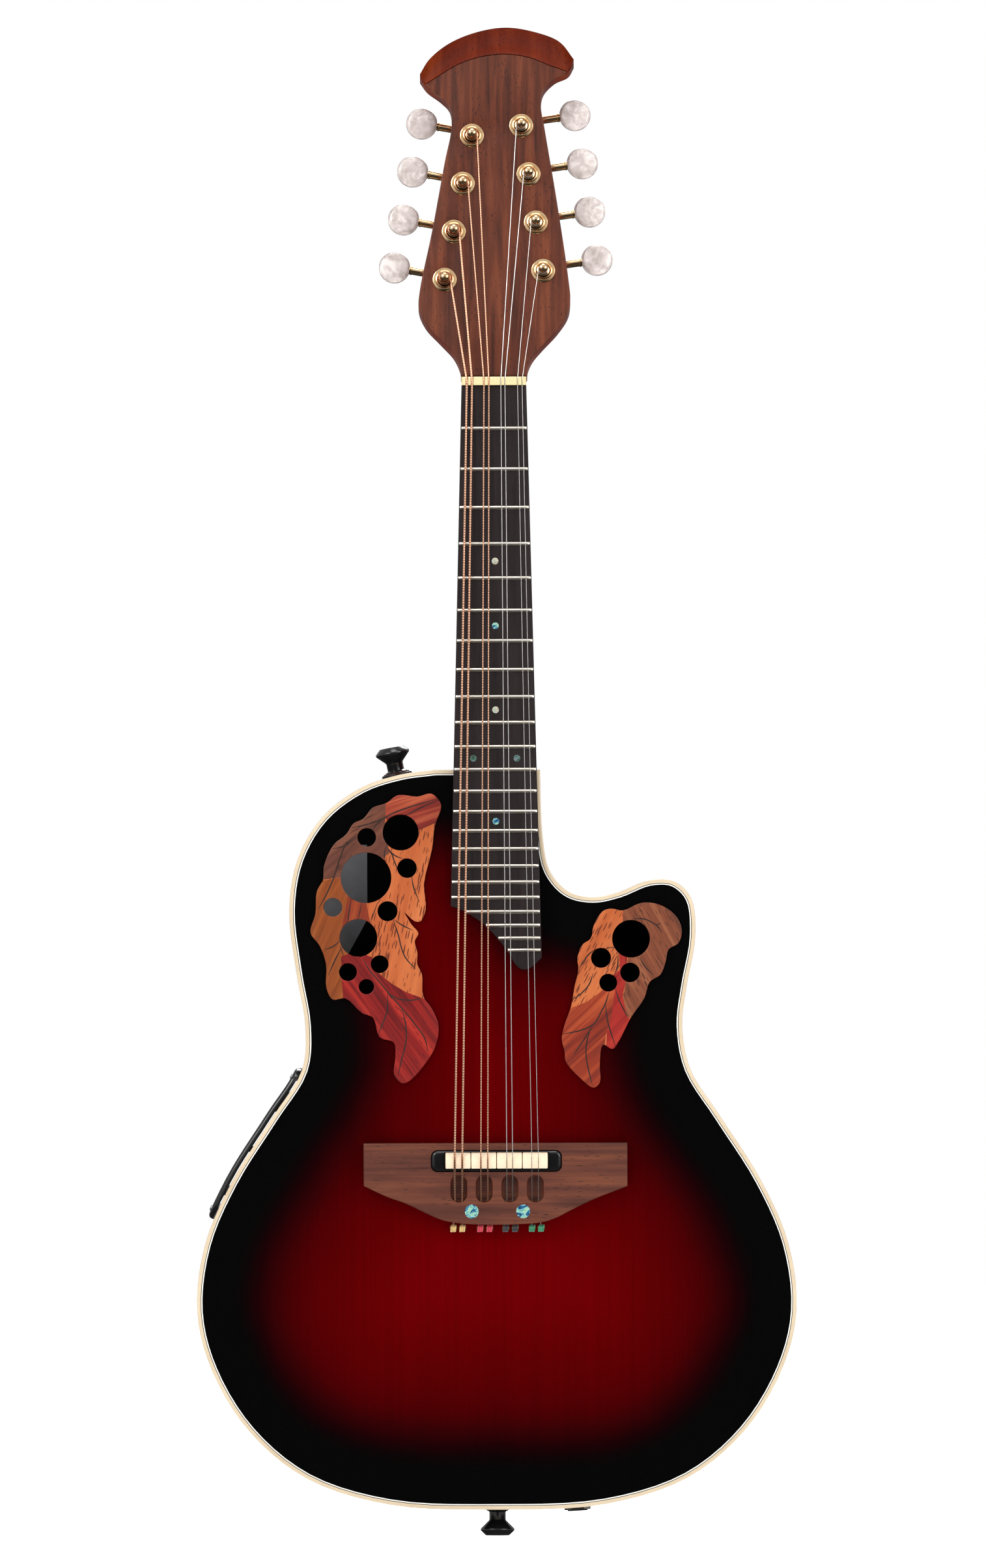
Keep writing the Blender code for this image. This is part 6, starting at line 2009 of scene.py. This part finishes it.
CAMERA_DISTANCE = 16.0
CAMERA_HEIGHT = 0.348
CAMERA_ACROSS = -0.0010
CAMERA_ROLL = math.radians(0.187)
FRAME_HEIGHT = 0.7252
STRING_PLANE = -0.025
LIGHTS = (
    # name, place in metres, power in watts, size in metres
    ("key", (-1.7, -1.7, 1.9), 34.0, 1.3),
    ("fill", (1.9, -1.6, 1.2), 23.0, 1.5),
    ("rim", (0.3, 1.9, 1.9), 34.0, 1.4),
    ("top", (0.0, -0.5, 2.6), 16.0, 1.3),
)


def floor_paint():
    """White studio floor paint, rolled: flat, and lit from within as far as the lamps don't reach."""
    material, tree = new_material("rolled_white_floor_paint")
    nap = add(tree, NOISE, None, {"Vector": spaced(tree, (40, 40, 40)), "Scale": 1.0})
    colour = add(tree, RAMP, None, {0: nap}, ((0.3, "#f2f2f2"), (0.7, "#f6f6f6")))
    surface(tree, {
        "Base Color": colour, "Roughness": 0.9, "Emission Color": (1, 1, 1, 1), "Emission Strength": 0.8,
    })
    return material


def make_studio():
    floor = bpy.data.meshes.new("studio_floor")
    bm = bmesh.new()
    bmesh.ops.create_grid(bm, x_segments=1, y_segments=1, size=8.0)
    bm.to_mesh(floor)
    bm.free()
    floor.materials.append(floor_paint())
    ground = bpy.data.objects.new("studio_floor", floor)
    ground.location.z = -0.0005
    bpy.context.collection.objects.link(ground)
    ground.visible_glossy = False
    for name, place, power, size in LIGHTS:
        lamp = bpy.data.lights.new(name, "AREA")
        lamp.energy = power
        lamp.size = size
        light = bpy.data.objects.new(name, lamp)
        light.location = place
        aim = Vector((0, 0, 0.34)) - Vector(place)
        light.rotation_mode = "QUATERNION"
        light.rotation_quaternion = aim.to_track_quat("-Z", "Y")
        bpy.context.collection.objects.link(light)


def make_world():
    """A white background. As light it is a soft room, dark below and in one patch that the gloss faces."""
    world = bpy.data.worlds.new("studio")
    world.use_nodes = True
    bpy.context.scene.world = world
    tree = world.node_tree
    tree.nodes.clear()
    view = add(tree, "ShaderNodeTexCoord").outputs["Generated"]
    axes = add(tree, "ShaderNodeSeparateXYZ", None, {0: view}).outputs
    back = add(tree, MATH, {"operation": "MULTIPLY_ADD"}, {0: axes["Y"], 1: 0.5, 2: 0.5})
    up = add(tree, MATH, {"operation": "MULTIPLY_ADD"}, {0: axes["Z"], 1: 0.5, 2: 0.5})
    room = add(tree, RAMP, None, {0: back}, ((0.008, 0.02), (0.03, 1.0), (0.4, 0.8), (1.0, 0.6)))
    below = add(tree, RAMP, None, {0: up}, ((0.38, 0.1), (0.52, 1.0)))
    light = add(tree, MIX, DARKEN, {0: 1.0, 6: room, 7: below}).outputs[2]
    soft = add(tree, "ShaderNodeBackground", None, {"Color": light, "Strength": 0.62})
    white = add(tree, "ShaderNodeBackground", None, {"Color": (1, 1, 1, 1), "Strength": 1.0})
    seen = add(tree, "ShaderNodeLightPath").outputs["Is Camera Ray"]
    mixed = add(tree, "ShaderNodeMixShader", None, {0: seen, 1: soft, 2: white})
    add(tree, "ShaderNodeOutputWorld", None, {"Surface": mixed})


def make_camera():
    camera = bpy.data.cameras.new("camera")
    camera.sensor_width = 36.0
    camera.lens = camera.sensor_width * CAMERA_DISTANCE / FRAME_HEIGHT
    camera.clip_end = 50.0
    eye = bpy.data.objects.new("camera", camera)
    eye.location = (CAMERA_ACROSS, STRING_PLANE - CAMERA_DISTANCE, CAMERA_HEIGHT)
    eye.rotation_euler = (math.radians(90), CAMERA_ROLL, 0)
    bpy.context.collection.objects.link(eye)
    bpy.context.scene.camera = eye
    bpy.context.scene.view_settings.view_transform = "Standard"


def build():
    make_bowl()
    make_binding()
    make_soundboard()
    make_leaf("bass_leaf_marquetry", "bass_leaf_panel", BASS_LEAF, BASS_HOLES, "mahogany_leaf",
              BASS_PATCHES, BASS_VEINS)
    make_leaf("treble_leaf_marquetry", "treble_leaf_panel", TREBLE_LEAF, TREBLE_HOLES, "mahogany_horn",
              TREBLE_PATCHES, TREBLE_VEINS)
    make_label()
    make_neck()
    make_head_veneer()
    make_fingerboard()
    make_nut()
    make_bridge()
    make_saddles()
    make_strings()
    make_ball_ends()
    make_machines()
    make_strap_button("end_button_turned", "end_strap_button", END_BUTTON)
    make_strap_button("shoulder_button_turned", "shoulder_strap_button", SHOULDER_BUTTON)
    make_jack()
    make_bezel()
    make_preamp()
    make_controls()
    dress_hidden_nodes()
    make_studio()
    make_world()
    make_camera()


build()
